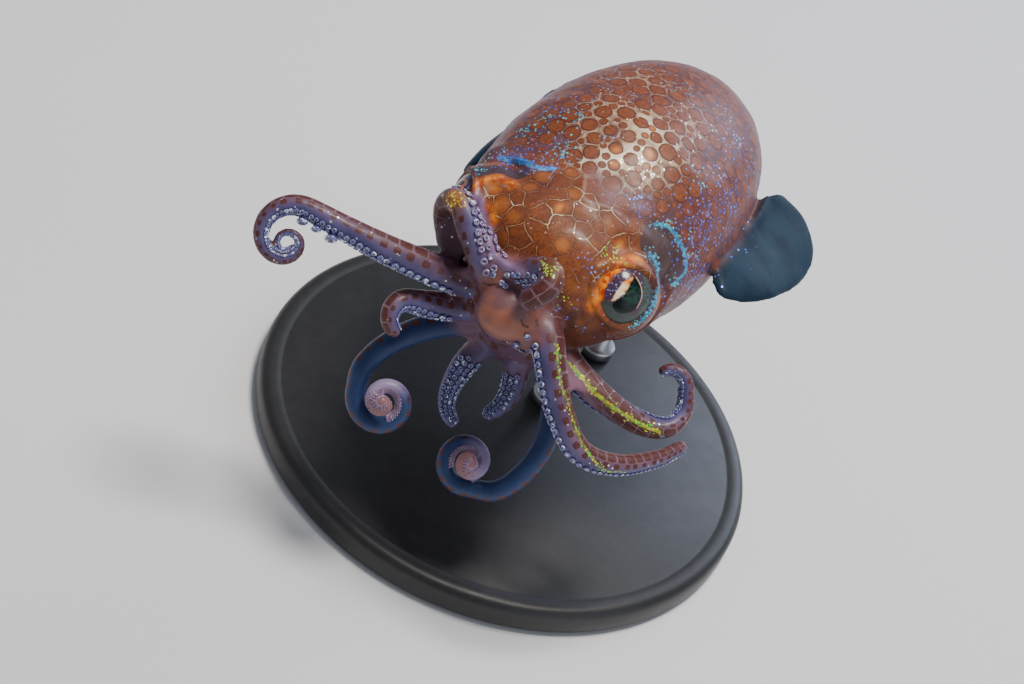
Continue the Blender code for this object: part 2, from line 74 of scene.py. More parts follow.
CROWN_RADII = (4.3, 2.5, 4.6)
CROWN_LOW_AT = (0.5, -18.6, -5.6)
CROWN_LOW_RADII = (3.7, 2.5, 3.1)
FUNNEL_FROM = (0.0, -10.5, -8.2)
FUNNEL_TO = (0.0, -16.6, -9.6)
FIN_ROOT = [(10.0, -3.6, 0.6), (10.4, 0.0, 0.7), (10.4, 3.6, 0.8), (9.8, 7.0, 1.0)]
FIN_EDGE = [(11.6, -6.4, 0.3), (13.2, -7.0, -0.2), (15.4, -4.6, -0.8), (16.8, 0.6, -1.6),
            (17.2, 5.2, -1.9), (16.2, 8.9, -1.6), (13.6, 10.6, -0.6), (10.8, 9.6, 0.6)]
FIN_EDGE_RIGHT = [(10.9, -5.8, -1.2), (12.0, -6.8, -3.6), (12.8, -4.6, -6.0), (12.8, 0.0, -7.6),
                  (12.0, 4.2, -7.9), (10.9, 7.0, -6.6), (10.0, 8.4, -4.2), (9.8, 8.2, -1.2)]
BASE_THICK = 3.0
RODS = {"front": (1.5, 0.0), "rear": (1.5, 10.0)}

# Limbs: waypoints, coil (degrees, first radius, last radius, side, rise, power), radius at root
# and tip, the way the sucker side faces at both ends, and how far it is turned to VIEWED_FROM.
# A tail (degrees, first radius, last radius) curls on inside the coil
LIMBS = {
    "arm_right_1": dict(
        way=[(-1.3, -20.6, -1.5), (-2.4, -22.6, 1.4), (-4.7, -22.6, 3.6), (-7.1, -21.6, 4.8),
             (-8.2, -21.1, 3.5), (-7.9, -21.2, 1.9), (-7.0, -21.8, 1.0)],
        coil=None, radius=(1.5, 0.85), faces=((0.56, -0.58, 0.4), (0.6, 0.3, -0.4)), shown=0.0),
    "arm_left_1": dict(
        way=[(-0.3, -20.3, -0.7), (0.4, -21.9, 2.0), (1.5, -22.7, 4.1), (2.8, -23.2, 5.1),
             (3.4, -24.2, 4.8), (3.0, -25.1, 3.8), (2.2, -25.4, 2.5)],
        coil=None, radius=(1.35, 0.95), faces=((-0.4, -0.9, -0.3), (0.05, 0.9, -0.25)), shown=0.0),
    "arm_right_2": dict(
        way=[(-3.0, -20.8, -2.1), (-5.8, -23.4, -1.1), (-9.6, -26.0, 0.0), (-13.3, -27.8, 0.9),
             (-16.3, -28.8, 1.4)],
        coil=(330, 3.0, 0.8, 1, 0.0, 1.0), radius=(1.5, 0.4), faces=((0.0, -0.2, -1.0), None),
        shown=0.25, tail=(340, 1.15, 0.4)),
    "arm_right_3": dict(
        way=[(-2.6, -20.3, -4.6), (-4.9, -23.0, -4.6), (-6.8, -25.4, -3.9)],
        coil=(190, 1.7, 1.0, 1, 0.0, 1.0), radius=(1.45, 0.6), faces=((-0.2, -0.5, -1.0), None),
        shown=0.25),
    "tentacle_right": dict(
        way=[(-2.1, -19.3, -6.8), (-4.5, -21.8, -7.4), (-6.7, -24.6, -9.1), (-7.6, -27.3, -11.1),
             (-7.1, -28.4, -12.7)],
        coil=(600, 2.5, 0.5, 1, 2.4, 1.4), radius=(1.3, 0.5), faces=((0.3, 0.0, -1.0), None),
        shown=0.0),
    "arm_right_4": dict(
        way=[(-0.5, -19.0, -7.7), (-1.4, -20.4, -9.8), (-1.5, -21.9, -12.3), (-0.8, -22.9, -13.9),
             (0.7, -23.3, -14.8)],
        coil=None, radius=(1.3, 0.6), faces=((0.5, -1.0, 0.4), (0.5, -0.8, 0.6)), shown=0.0),
    "arm_left_4": dict(
        way=[(1.2, -18.4, -7.6), (2.6, -18.9, -9.9), (3.0, -20.4, -12.0), (2.2, -21.6, -13.6)],
        coil=None, radius=(1.3, 0.6), faces=((-0.5, -1.0, 0.4), (-0.4, -0.8, 0.6)), shown=0.0),
    "tentacle_left": dict(
        way=[(2.6, -17.6, -7.0), (5.0, -17.1, -9.2), (7.0, -18.8, -12.1), (7.6, -21.2, -15.1),
             (6.6, -24.0, -17.4), (4.3, -25.5, -17.8)],
        coil=(600, 2.2, 0.5, -1, 2.2, 1.3), radius=(1.3, 0.5), faces=((-0.8, -0.3, 0.0), None),
        shown=0.0),
    "arm_left_2": dict(
        way=[(1.3, -20.1, -1.0), (4.1, -22.1, -1.1), (6.5, -23.9, -3.0), (8.7, -24.7, -5.4),
             (11.5, -24.7, -7.8), (14.2, -22.7, -8.8), (16.5, -19.2, -8.9), (17.8, -15.7, -8.6)],
        coil=None, radius=(1.5, 0.6), faces=((-0.6, -0.4, -0.6), (0.2, -0.2, -1.0)), shown=0.15),
    "arm_left_3": dict(
        way=[(2.9, -18.2, -4.0), (6.1, -19.3, -5.1), (10.1, -19.5, -6.1), (14.0, -18.5, -7.0),
             (16.0, -17.2, -6.8), (16.3, -15.5, -5.8), (15.4, -14.5, -4.3)],
        coil=(150, 1.6, 1.0, 1, 0.0, 1.0), radius=(1.45, 0.5), faces=((-0.2, -0.6, -0.8), None),
        shown=0.25),
}

# Webs of skin between the roots of neighbouring limbs, and how far out they reach on each
WEBS = [("arm_right_1", 5.4, "arm_right_2", 7.0), ("arm_right_2", 5.0, "arm_right_3", 4.0),
        ("arm_right_3", 3.5, "arm_right_4", 3.0), ("arm_right_4", 3.0, "arm_left_4", 3.0),
        ("arm_left_4", 3.0, "arm_left_3", 4.0), ("arm_left_3", 10.4, "arm_left_2", 12.4),
        ("arm_left_2", 4.0, "arm_left_1", 3.5)]


# Camera, fitted to the photograph: half its field of view, the middle of its frame, and the pixel
# and the scale at which the middle of the mantle shows
HALF_FIELD = radians(12.0)
FRAME_MIDDLE = (512, 342)
MANTLE_PIXEL = (631, 182)
PIXELS_PER_MM = 11.25
FOCAL = FRAME_MIDDLE[0] / tan(HALF_FIELD)
turn, tip, roll = radians(15.0), radians(40.0), radians(24.0)
BACK = np.array((sin(turn) * cos(tip), -cos(turn) * cos(tip), sin(tip)))
level = np.array((cos(turn), sin(turn), 0.0))
upright = np.cross(BACK, level)
RIGHT = level * cos(roll) + upright * sin(roll)
UP = upright * cos(roll) - level * sin(roll)
FAR = FOCAL / PIXELS_PER_MM
EYEPOINT = (FAR * BACK - (MANTLE_PIXEL[0] - FRAME_MIDDLE[0]) / FOCAL * FAR * RIGHT
            + (MANTLE_PIXEL[1] - FRAME_MIDDLE[1]) / FOCAL * FAR * UP)


def sight(px, py):
    """The way from the camera through a pixel of the photograph's frame."""
    return unit((px - FRAME_MIDDLE[0]) / FOCAL * RIGHT - (py - FRAME_MIDDLE[1]) / FOCAL * UP - BACK)


def unit(v):
    v = np.asarray(v, float)
    return v / np.linalg.norm(v)


def ease(t):
    """A smooth change from 0 to 1 for a share that runs from 0 to 1."""
    return t * t * (3 - 2 * t)


def angles(count):
    return [2 * pi * j / count for j in range(count)]


def point_tree(points):
    tree = KDTree(len(points))
    for i, p in enumerate(points):
        tree.insert(p, i)
    tree.balance()
    return tree


def loft(rings, cap_start=None, cap_end=None):
    """Points and faces of a closed surface through rings of equal count."""
    count = len(rings[0])
    points = [tuple(p) for ring in rings for p in ring]
    faces = []
    for i in range(len(rings) - 1):
        for j in range(count):
            k = (j + 1) % count
            faces.append((i * count + j, i * count + k, (i + 1) * count + k, (i + 1) * count + j))
    last = (len(rings) - 1) * count
    if cap_start is None:
        faces.append(tuple(reversed(range(count))))
    else:
        points.append(tuple(cap_start))
        faces.extend((len(points) - 1, (j + 1) % count, j) for j in range(count))
    if cap_end is None:
        faces.append(tuple(range(last, last + count)))
    else:
        points.append(tuple(cap_end))
        faces.extend((last + j, last + (j + 1) % count, len(points) - 1) for j in range(count))
    return points, faces


def ellipsoid(centre, radii, around=48, along=28):
    rings = []
    for i in range(1, along):
        lat = -pi / 2 + pi * i / along
        rings.append([(centre[0] + radii[0] * cos(lat) * cos(a),
                       centre[1] + radii[1] * cos(lat) * sin(a),
                       centre[2] + radii[2] * sin(lat)) for a in angles(around)])
    return loft(rings, (centre[0], centre[1], centre[2] - radii[2]),
                (centre[0], centre[1], centre[2] + radii[2]))


def mantle_size(y):
    """Half width, height above and depth below the mantle's middle line."""
    t = (y - MANTLE_FRONT) / (MANTLE_BACK - MANTLE_FRONT)
    t = min(max(t, 0.0), 1.0)
    dome = sqrt(max(0.0, 1.0 - max(0.0, (t - 0.2) / 0.8) ** 2.6))
    grow = ease(min(1.0, t / 0.3))
    return [(first + (full - first) * grow) * dome
            for first, full in (MANTLE_HALF_WIDTH, MANTLE_TOP, MANTLE_UNDER)]


def mantle_form(around=120, along=80):
    """A rounded body whose front edge is drawn back over each side of the neck."""
    rings = []
    for i in range(along):
        t = 0.35 * i / along + 0.65 * sin(pi / 2 * i / along)
        ring = []
        for a in angles(around):
            z_front = MANTLE_TOP[0] * sin(a) if sin(a) > 0 else MANTLE_UNDER[0] * sin(a)
            depth, height, spread = MANTLE_NOTCHES[1 if cos(a) > 0 else -1]
            off = (z_front - height) / spread
            front = MANTLE_FRONT + depth * np.exp(-off * off) * min(1.0, abs(cos(a)) / 0.5)
            y = front + (MANTLE_BACK - front) * t
            half, top, under = mantle_size(y)
            high = top if sin(a) > 0 else under
            ring.append((half * cos(a), y, high * sin(a)))
        rings.append(ring)
    return loft(rings, (0.0, MANTLE_FRONT + 2.0, 0.0), (0.0, MANTLE_BACK, 0.0))


def smooth_line(way, step=0.1):
    """A smooth line through the waypoints, its slope at each taken from its neighbours."""
    way = np.asarray(way, float)
    hops = np.linalg.norm(np.diff(way, axis=0), axis=1)
    at = np.concatenate(([0.0], np.cumsum(hops)))
    slope = np.zeros_like(way)
    slope[1:-1] = (way[2:] - way[:-2]) / (at[2:] - at[:-2])[:, None]
    slope[0] = (way[1] - way[0]) / hops[0]
    slope[-1] = (way[-1] - way[-2]) / hops[-1]
    line = []
    for i, hop in enumerate(hops):
        count = max(2, ceil(hop / step))
        for j in range(count):
            t = j / count
            line.append((2 * t**3 - 3 * t**2 + 1) * way[i] + (t**3 - 2 * t**2 + t) * hop * slope[i]
                        + (3 * t**2 - 2 * t**3) * way[i + 1] + (t**3 - t**2) * hop * slope[i + 1])
    line.append(way[-1])
    return line


def curl(line, faces, heading, inside, bend_of, power=1.0, lift=0.0):
    """Carries a limb's line on round a coil whose radius shrinks: degrees, first and last radius."""
    degrees, r_first, r_last = bend_of
    steps = ceil(degrees / 10)
    bend = radians(degrees) / steps
    for i in range(steps):
        t = (i + 0.5) / steps
        r = r_last + (r_first - r_last) * (1 - t) ** power
        ahead = cos(bend) * heading + sin(bend) * inside
        inside = cos(bend) * inside - sin(bend) * heading
        line.append(line[-1] + r * bend * unit(heading + ahead) + lift / steps * 6 * t * (1 - t))
        faces.append(inside)
        heading = ahead
    return heading, inside


def limb_line(limb):
    """The limb's middle line with, at each point, the way its sucker side faces."""
    line = smooth_line(limb["way"], 0.2)
    heading = unit(line[-1] - line[-2])
    first, last = limb["faces"]
    if limb["coil"]:
        degrees, r_first, r_last, side, rise, power = limb["coil"]
        last = unit(np.cross(VIEWED_FROM, heading) * side)
    inside = unit(np.asarray(last, float) - (np.asarray(last, float) @ heading) * heading)
    carried = []
    facing = np.asarray(first, float)
    for i in range(len(line)):
        near = min(i, len(line) - 2)
        ahead = unit(line[near + 1] - line[near])
        facing = unit(facing - (facing @ ahead) * ahead)
        carried.append((ahead, facing))
    missing = atan2(np.cross(facing, inside) @ heading, facing @ inside)
    faces = []
    for i, (ahead, facing) in enumerate(carried):
        twist = missing * ease(i / (len(line) - 1))
        faces.append(cos(twist) * facing + sin(twist) * np.cross(ahead, facing))
    if limb["coil"]:
        lift = np.cross(heading, inside)
        lift = lift * np.sign(lift @ np.asarray(VIEWED_FROM)) * rise
        heading, inside = curl(line, faces, heading, inside, (degrees, r_first, r_last), power, lift)
    if "tail" in limb:
        curl(line, faces, heading, inside, limb["tail"])
    return np.array(line), np.array(faces)


class Limb:
    """Place, direction and thickness at any distance along a limb."""

    def __init__(self, name):
        self.name = name
        self.limb = LIMBS[name]
        line, faces = limb_line(self.limb)
        hops = np.linalg.norm(np.diff(line, axis=0), axis=1)
        at = np.concatenate(([0.0], np.cumsum(hops)))
        self.length = at[-1]
        degrees, r_first, r_last = self.limb.get("tail", (0, 0, 0))
        self.body = self.length - radians(degrees) * (r_first + r_last) / 2
        count = int(self.length / 0.08)
        self.s = np.linspace(0.0, self.length, count)
        self.places = np.stack([np.interp(self.s, at, line[:, k]) for k in range(3)], axis=1)
        for _ in range(6):
            self.places[1:-1] = (self.places[:-2] + 2 * self.places[1:-1] + self.places[2:]) / 4
        ahead = np.gradient(self.places, axis=0)
        self.ahead = ahead / np.linalg.norm(ahead, axis=1)[:, None]
        facing = np.stack([np.interp(self.s, at, faces[:, k]) for k in range(3)], axis=1)
        shown = self.limb["shown"] * self.across(np.array([VIEWED_FROM]), False)
        self.facing = self.across(self.across(facing) + shown)
        self.aside = np.cross(self.ahead, self.facing)
        self.tree = point_tree(self.places)

    def across(self, way, whole=True):
        """The share of some directions that lies across the limb, as unit lengths or as it is."""
        way = way - (way * self.ahead).sum(1)[:, None] * self.ahead
        return way / np.linalg.norm(way, axis=1)[:, None] if whole else way

    def frame(self, s):
        """The middle at a distance, and the ways ahead, to the sucker side and across both."""
        i = int(np.clip(round(s / self.length * (len(self.s) - 1)), 0, len(self.s) - 1))
        return self.places[i], self.ahead[i], self.facing[i], self.aside[i]

    def radius(self, s):
        root, tip = self.limb["radius"]
        return np.maximum(root + (tip - root) * (np.maximum(s, 0.0) / self.body) ** 1.3, 0.3)

    def ring(self, s, shrink=1.0, sides=26):
        """A ring of points, a little flat on the sucker side."""
        middle, ahead, facing, aside = self.frame(s)
        ring = []
        for j in range(sides):
            a = 2 * pi * (j + 0.5) / sides
            r = self.radius(s) * shrink * (1.0 - 0.14 * max(0.0, cos(a)) ** 2)
            ring.append(middle + r * (cos(a) * facing + sin(a) * aside))
        return ring

    def tube(self):
        blunt = self.radius(self.length) * 0.9
        rings = [self.ring(0.0, 0.7)]
        rings += [self.ring(s) for s in np.arange(0.2, self.length - blunt, 0.2)]
        for part in (0.0, 0.3, 0.55, 0.75, 0.9, 0.97):
            rings.append(self.ring(self.length - blunt + blunt * part, sqrt(1 - part * part)))
        return loft(rings, None, self.places[-1])

    def where(self, points):
        """Distance along, and turn from the side away from the suckers."""
        found = [self.tree.find(p) for p in points]
        near = np.array([f[1] for f in found])
        off = points - self.places[near]
        s = self.s[near] + (off * self.ahead[near]).sum(1)
        phi = np.arctan2((off * self.aside[near]).sum(1), -(off * self.facing[near]).sum(1))
        return s, phi


limbs = {name: Limb(name) for name in LIMBS}


def fin_form(side, edge_way, across=26, along=60):
    """A thin leaf that thickens towards its root."""
    root = np.array(smooth_line(FIN_ROOT))
    edge = np.array(smooth_line(edge_way))
    middle = (edge[len(edge) // 2] - root[len(root) // 2]) * (1.0, 0.0, 1.0)
    up = unit((-middle[2], 0.0, middle[0]))
    sheets = ([], [])
    for i in range(along + 1):
        v = i / along
        a = root[int(round(v * (len(root) - 1)))]
        b = edge[int(round(v * (len(edge) - 1)))]
        for j in range(across + 1):
            u = j / across
            p = (1 - u) * a + u * b
            p = p + up * (0.45 * u * sin(2.2 * pi * v) + 0.5 * sin(pi * u))
            thick = 0.5 + 0.6 * (1 - u) + 1.2 * max(0.0, 1 - u / 0.25) ** 2
            for half, sign in enumerate((1, -1)):
                q = p + sign * up * thick / 2
                sheets[half].append((side * q[0], q[1], q[2]))
    return sheet_solid(sheets, along, across, side > 0)


def sheet_solid(sheets, along, across, keep=True):
    """Closes two grids of (along + 1) x (across + 1) points into one solid."""
    row = across + 1
    count = len(sheets[0])
    faces = []
    for i in range(along):
        for j in range(across):
            a, b = i * row + j, i * row + j + 1
            faces.append((a, b, b + row, a + row))
            faces.append((count + a, count + a + row, count + b + row, count + b))
    rim = list(range(row))
    rim += [i * row + across for i in range(1, along + 1)]
    rim += [along * row + j for j in range(across - 1, -1, -1)]
    rim += [i * row for i in range(along - 1, 0, -1)]
    for k, a in enumerate(rim):
        b = rim[(k + 1) % len(rim)]
        faces.append((a, count + a, count + b, b))
    if not keep:
        faces = [tuple(reversed(f)) for f in faces]
    return list(sheets[0]) + list(sheets[1]), faces


def web_form(first, reach_first, second, reach_second, thick=0.5, hollow=0.32):
    """A thin skin between two limbs whose free edge curves in towards the head."""
    a, b = limbs[first], limbs[second]
    along, across = 26, 20
    grid = np.zeros((along + 1, across + 1, 3))
    for i in range(along + 1):
        for j in range(across + 1):
            u = j / across
            t = i / along * (1 - hollow * 4 * u * (1 - u))
            grid[i, j] = (1 - u) * a.frame(t * reach_first)[0] + u * b.frame(t * reach_second)[0]
    du = np.gradient(grid, axis=1)
    dt = np.gradient(grid, axis=0)
    normal = np.cross(du, dt)
    normal /= np.linalg.norm(normal, axis=2)[:, :, None] + 1e-9
    sheets = [list(map(tuple, (grid + sign * normal * thick / 2).reshape(-1, 3)))
              for sign in (1, -1)]
    return sheet_solid(sheets, along, across)


def rod_form(line, radii, sides=12):
    """A round rope along a line of points with a radius at each, rounded at its ends."""
    line = np.asarray(line, float)
    radii = np.interp(np.linspace(0, 1, len(line)), np.linspace(0, 1, len(radii)), radii)
    ahead = np.gradient(line, axis=0)
    rings = []
    side = unit(np.cross(ahead[0], (0.3, 0.5, 0.8)))
    for p, h, r in zip(line, ahead, radii):
        h = unit(h)
        side = unit(side - (side @ h) * h)
        other = np.cross(h, side)
        rings.append([p + r * (cos(a) * side + sin(a) * other) for a in angles(sides)])
    return loft(rings, line[0] - unit(ahead[0]) * radii[0] * 0.6,
                line[-1] + unit(ahead[-1]) * radii[-1] * 0.6)


def funnel_form():
    """A tapered tube, open at its tip."""
    start, end = np.array(FUNNEL_FROM), np.array(FUNNEL_TO)
    axis = unit(end - start)
    side = unit(np.cross(axis, (1.0, 0.0, 0.0)))
    other = np.cross(axis, side)
    length = np.linalg.norm(end - start)
    outline = [(0.0, 3.0), (0.25, 2.75), (0.5, 2.3), (0.75, 1.8), (0.9, 1.55), (0.97, 1.5),
               (1.0, 1.38), (1.0, 1.15), (0.96, 1.0), (0.85, 0.95), (0.62, 0.9)]
    rings = [[start + axis * length * t + r * (cos(a) * side + sin(a) * other)
              for a in angles(36)] for t, r in outline]
    return loft(rings, None, start + axis * length * 0.58)


# Ridges raised on the skin: pixels of the photograph, and half widths in mm
RIDGES = {
    "brow_right": ([(471, 187), (479, 181), (490, 177), (502, 178), (512, 183), (518, 190)],
                   (0.3, 0.5, 0.3)),
    "nape": ([(586, 176), (584, 188), (584, 198), (593, 203), (606, 206)], (0.2, 0.3, 0.2)),
    "band_front": ([(477, 193), (481, 208), (484, 224), (489, 242), (497, 258), (510, 268),
                    (524, 274)], (0.35, 0.42, 0.42, 0.5)),
}


def collect_parts():
    """Every closed form that the skin is fused from: name, kind, points and faces."""
    parts = [("mantle", "mantle", *mantle_form()),
             ("head", "head", *ellipsoid(HEAD_AT, HEAD_RADII, 96, 60)),
             ("neck", "head", *ellipsoid(NECK_AT, NECK_RADII, 72, 44)),
             ("nape", "head", *ellipsoid((0.0, -13.6, 5.0), (5.4, 3.6, 1.9), 60, 30)),
             ("nape_left", "head", *ellipsoid((4.4, -12.4, 3.5), (2.8, 2.4, 2.5), 60, 30)),
             ("bulb", "bulb", *ellipsoid(BULB_AT, BULB_RADII)),
             ("crown", "arm", *ellipsoid(CROWN_AT, CROWN_RADII)),
             ("crown_low", "arm", *ellipsoid(CROWN_LOW_AT, CROWN_LOW_RADII)),
             ("funnel", "funnel", *funnel_form()),
             ("funnel_root", "funnel", *ellipsoid((0.0, -9.4, -7.8), (2.9, 4.4, 3.0))),
             ("fold_right", "arm", *ellipsoid((-6.3, -21.8, 1.4), (1.8, 0.8, 2.0))),
             ("bulb_low", "bulb", *ellipsoid((2.9, -22.6, -1.5), (1.9, 1.9, 1.9))),
             ("bulb_high", "bulb", *ellipsoid((-0.9, -22.4, 1.1), (1.7, 1.5, 2.3)))]
    for side, word in ((1, "left"), (-1, "right")):
        eye = (side * EYE_AT[0], EYE_AT[1], EYE_AT[2])
        parts.append(("bulge_" + word, "head", *ellipsoid(eye, (EYE_BULGE,) * 3, 60, 40)))
        parts.append(("collar_" + word, "collar", *ellipsoid(*COLLARS[side])))
    parts.append(("fin_left", "fin", *fin_form(1, FIN_EDGE)))
    parts.append(("fin_right", "fin", *fin_form(-1, FIN_EDGE_RIGHT)))
    for name, limb in limbs.items():
        parts.append((name, "tentacle" if name.startswith("tentacle") else "arm", *limb.tube()))
        if limb.limb["coil"] and name.startswith("tentacle"):
            middle = limb.places[-1] + limb.facing[-1] * limb.limb["coil"][2]
            parts.append(("core_" + name, "tentacle", *ellipsoid(middle, (0.75,) * 3, 24, 14)))
    for web in WEBS:
        parts.append(("web_" + web[0] + web[2], "web", *web_form(*web)))
    return parts


def combined(parts):
    """The points and faces of all the parts in one list each."""
    points, faces = [], []
    for part in parts:
        start = len(points)
        points += [tuple(p) for p in part[2]]
        faces += [tuple(start + i for i in f) for f in part[3]]
    return points, faces


def fuse(parts, size):
    """One closed surface round all the parts, as vertices and four-sided faces."""
    points, faces = combined(parts)
    mesh = bpy.data.meshes.new("raw")
    mesh.from_pydata(points, [], faces)
    made = bpy.data.objects.new("raw", mesh)
    bpy.context.scene.collection.objects.link(made)
    step = made.modifiers.new("fuse", "REMESH")
    step.mode = "VOXEL"
    step.voxel_size = size
    graph = bpy.context.evaluated_depsgraph_get()
    result = bpy.data.meshes.new_from_object(made.evaluated_get(graph))
    verts = np.empty(len(result.vertices) * 3)
    result.vertices.foreach_get("co", verts)
    corners = np.empty(len(result.loops), int)
    result.loops.foreach_get("vertex_index", corners)
    bpy.data.objects.remove(made)
    bpy.data.meshes.remove(mesh)
    bpy.data.meshes.remove(result)
    return keep_largest(verts.reshape(-1, 3), corners.reshape(-1, 4))


def keep_largest(verts, quads):
    """Leaves only the largest connected surface."""
    label = np.arange(len(verts))
    edges = np.concatenate([quads[:, (0, 1)], quads[:, (1, 2)], quads[:, (2, 3)]])
    while True:
        low = np.minimum(label[edges[:, 0]], label[edges[:, 1]])
        before = label.copy()
        np.minimum.at(label, edges[:, 0], low)
        np.minimum.at(label, edges[:, 1], low)
        label = label[label]
        if (label == before).all():
            break
    names, counts = np.unique(label, return_counts=True)
    keep = label == names[counts.argmax()]
    fresh = np.cumsum(keep) - 1
    return verts[keep], fresh[quads[keep[quads].all(axis=1)]]


def relax(verts, quads, rounds, weight=None, push=0.5):
    """Moves each vertex towards the middle of its neighbours."""
    a = quads.ravel()
    b = np.roll(quads, -1, axis=1).ravel()
    count = np.bincount(a, minlength=len(verts)) + np.bincount(b, minlength=len(verts))
    for _ in range(rounds):
        total = np.stack([np.bincount(a, verts[b, k], len(verts))
                          + np.bincount(b, verts[a, k], len(verts)) for k in range(3)], axis=1)
        move = push * (total / count[:, None] - verts)
        verts = verts + (move if weight is None else move * weight[:, None])
    return verts


def vertex_normals(verts, quads):
    a, b, c, d = (verts[quads[:, k]] for k in range(4))
    face = np.cross(c - a, d - b)
    normal = np.zeros_like(verts)
    for k in range(4):
        np.add.at(normal, quads[:, k], face)
    return normal / (np.linalg.norm(normal, axis=1)[:, None] + 1e-12)


def distances(verts, parts, reach=1.2):
    """Distance from each vertex to each part's surface, large where it is far off."""
    far = np.full((len(verts), len(parts)), 9.0)
    for k, part in enumerate(parts):
        points = np.asarray(part[2])
        low, high = points.min(0) - reach, points.max(0) + reach
        near = np.nonzero(((verts > low) & (verts < high)).all(axis=1))[0]
        tree = BVHTree.FromPolygons([tuple(p) for p in points], part[3])
        for i in near:
            hit = tree.find_nearest(verts[i], reach)
            if hit[0] is not None:
                far[i, k] = hit[3]
    return far


def seen(tree, way):
    """Where the lines of sight through pixels of the photograph meet the body."""
    points = []
    for px, py in way:
        hit = tree.ray_cast(Vector(EYEPOINT), Vector(sight(px, py)))
        if hit[0] is not None:
            points.append(np.array(hit[0]))
    return points


def settle(tree, line):
    """The nearest places on the body's surface to a line of points."""
    return np.array([np.array(tree.find_nearest(p)[0]) for p in line])


# Light-catching and dark marks: the skin's own iridescent colours, with painted light among them: a painted
# highlight in the gold and white glow on the mantle's top, painted edge highlights in the lilac lines and
# painted shade in the dark marks. Each line lays a narrow mask and, round it, a wider one of the same kind for
# specks. The skin's material reads those that it needs.
SHINE_KINDS = ("gold", "cyan", "blue", "green", "white", "orange", "lilac", "dark", "pale", "oval",
               "plain", "thread")

# Kind, pixels of the photograph, half width in mm, strength
SHINE_LINES = [
    ("oval", [(658, 243), (664, 257), (669, 272)], 2.0, 1.0),
    ("oval", [(482, 170), (500, 170), (522, 174)], 0.9, 1.0),
    ("cyan", [(655, 224), (667, 226), (676, 236), (682, 247), (686, 259), (686, 270), (680, 278),
              (673, 285)], 0.20, 1.0),
    ("cyan", [(650, 253), (655, 261), (658, 271), (658, 282), (657, 292), (655, 302), (650, 312), (643, 320),
              (633, 327)], 0.20, 1.0),
    ("blue", [(500, 158), (513, 160), (527, 163), (540, 168), (553, 168)], 0.35, 1.0),
    ("cyan", [(500, 158), (513, 161), (527, 164), (540, 169), (556, 168)], 0.16, 0.9),
    ("green", [(568, 362), (580, 375), (592, 390), (606, 402), (622, 413), (640, 424), (660, 432)], 0.22, 1.0),
    ("green", [(557, 345), (558, 365), (561, 385), (568, 402), (572, 416), (578, 434), (592, 458),
               (604, 470), (622, 472)], 0.16, 0.8),
    ("white", [(586, 176), (584, 188), (584, 198), (593, 203), (606, 206), (620, 214)], 0.34, 0.8),
    ("white", [(503, 203), (512, 203), (524, 205), (537, 202), (548, 198)], 0.10, 0.9),
    ("white", [(560, 199), (569, 206), (579, 202), (586, 197)], 0.10, 0.8),
    ("gold", [(553, 222), (556, 212), (560, 205)], 0.3, 0.9),
    ("gold", [(576, 232), (586, 240), (596, 246)], 0.3, 0.9),
    ("orange", [(637, 258), (624, 263), (613, 271), (605, 280), (600, 290), (596, 300), (592, 307)], 0.34, 1.0),
    ("gold", [(618, 266), (608, 276), (601, 288), (597, 298)], 0.20, 0.9),
    ("orange", [(489, 207), (493, 214), (494, 222)], 0.22, 0.9),
    # painted shade along the eye's rear edge
    ("dark", [(648, 262), (654, 272), (655, 284), (653, 298), (646, 313), (636, 323)], 0.22, 1.0),
    ("thread", [(483, 283), (490, 285), (497, 284)], 0.13, 1.0),
    ("thread", [(521, 320), (523, 325), (528, 327)], 0.12, 1.0),
    ("thread", [(536, 320), (538, 325)], 0.12, 1.0),
    ("orange", [(474, 187), (482, 181), (492, 178), (503, 179), (513, 184)], 0.30, 0.8),
    # Lilac lines: painted highlight along the upper edge of arm right 2 and along the free edge of the front
    # web
    ("lilac", [(431, 253), (441, 257), (451, 261)], 0.30, 0.9),
    ("lilac", [(476, 193), (481, 208), (484, 224), (489, 242), (497, 258), (510, 268), (526, 275)],
     0.45, 1.0),
]

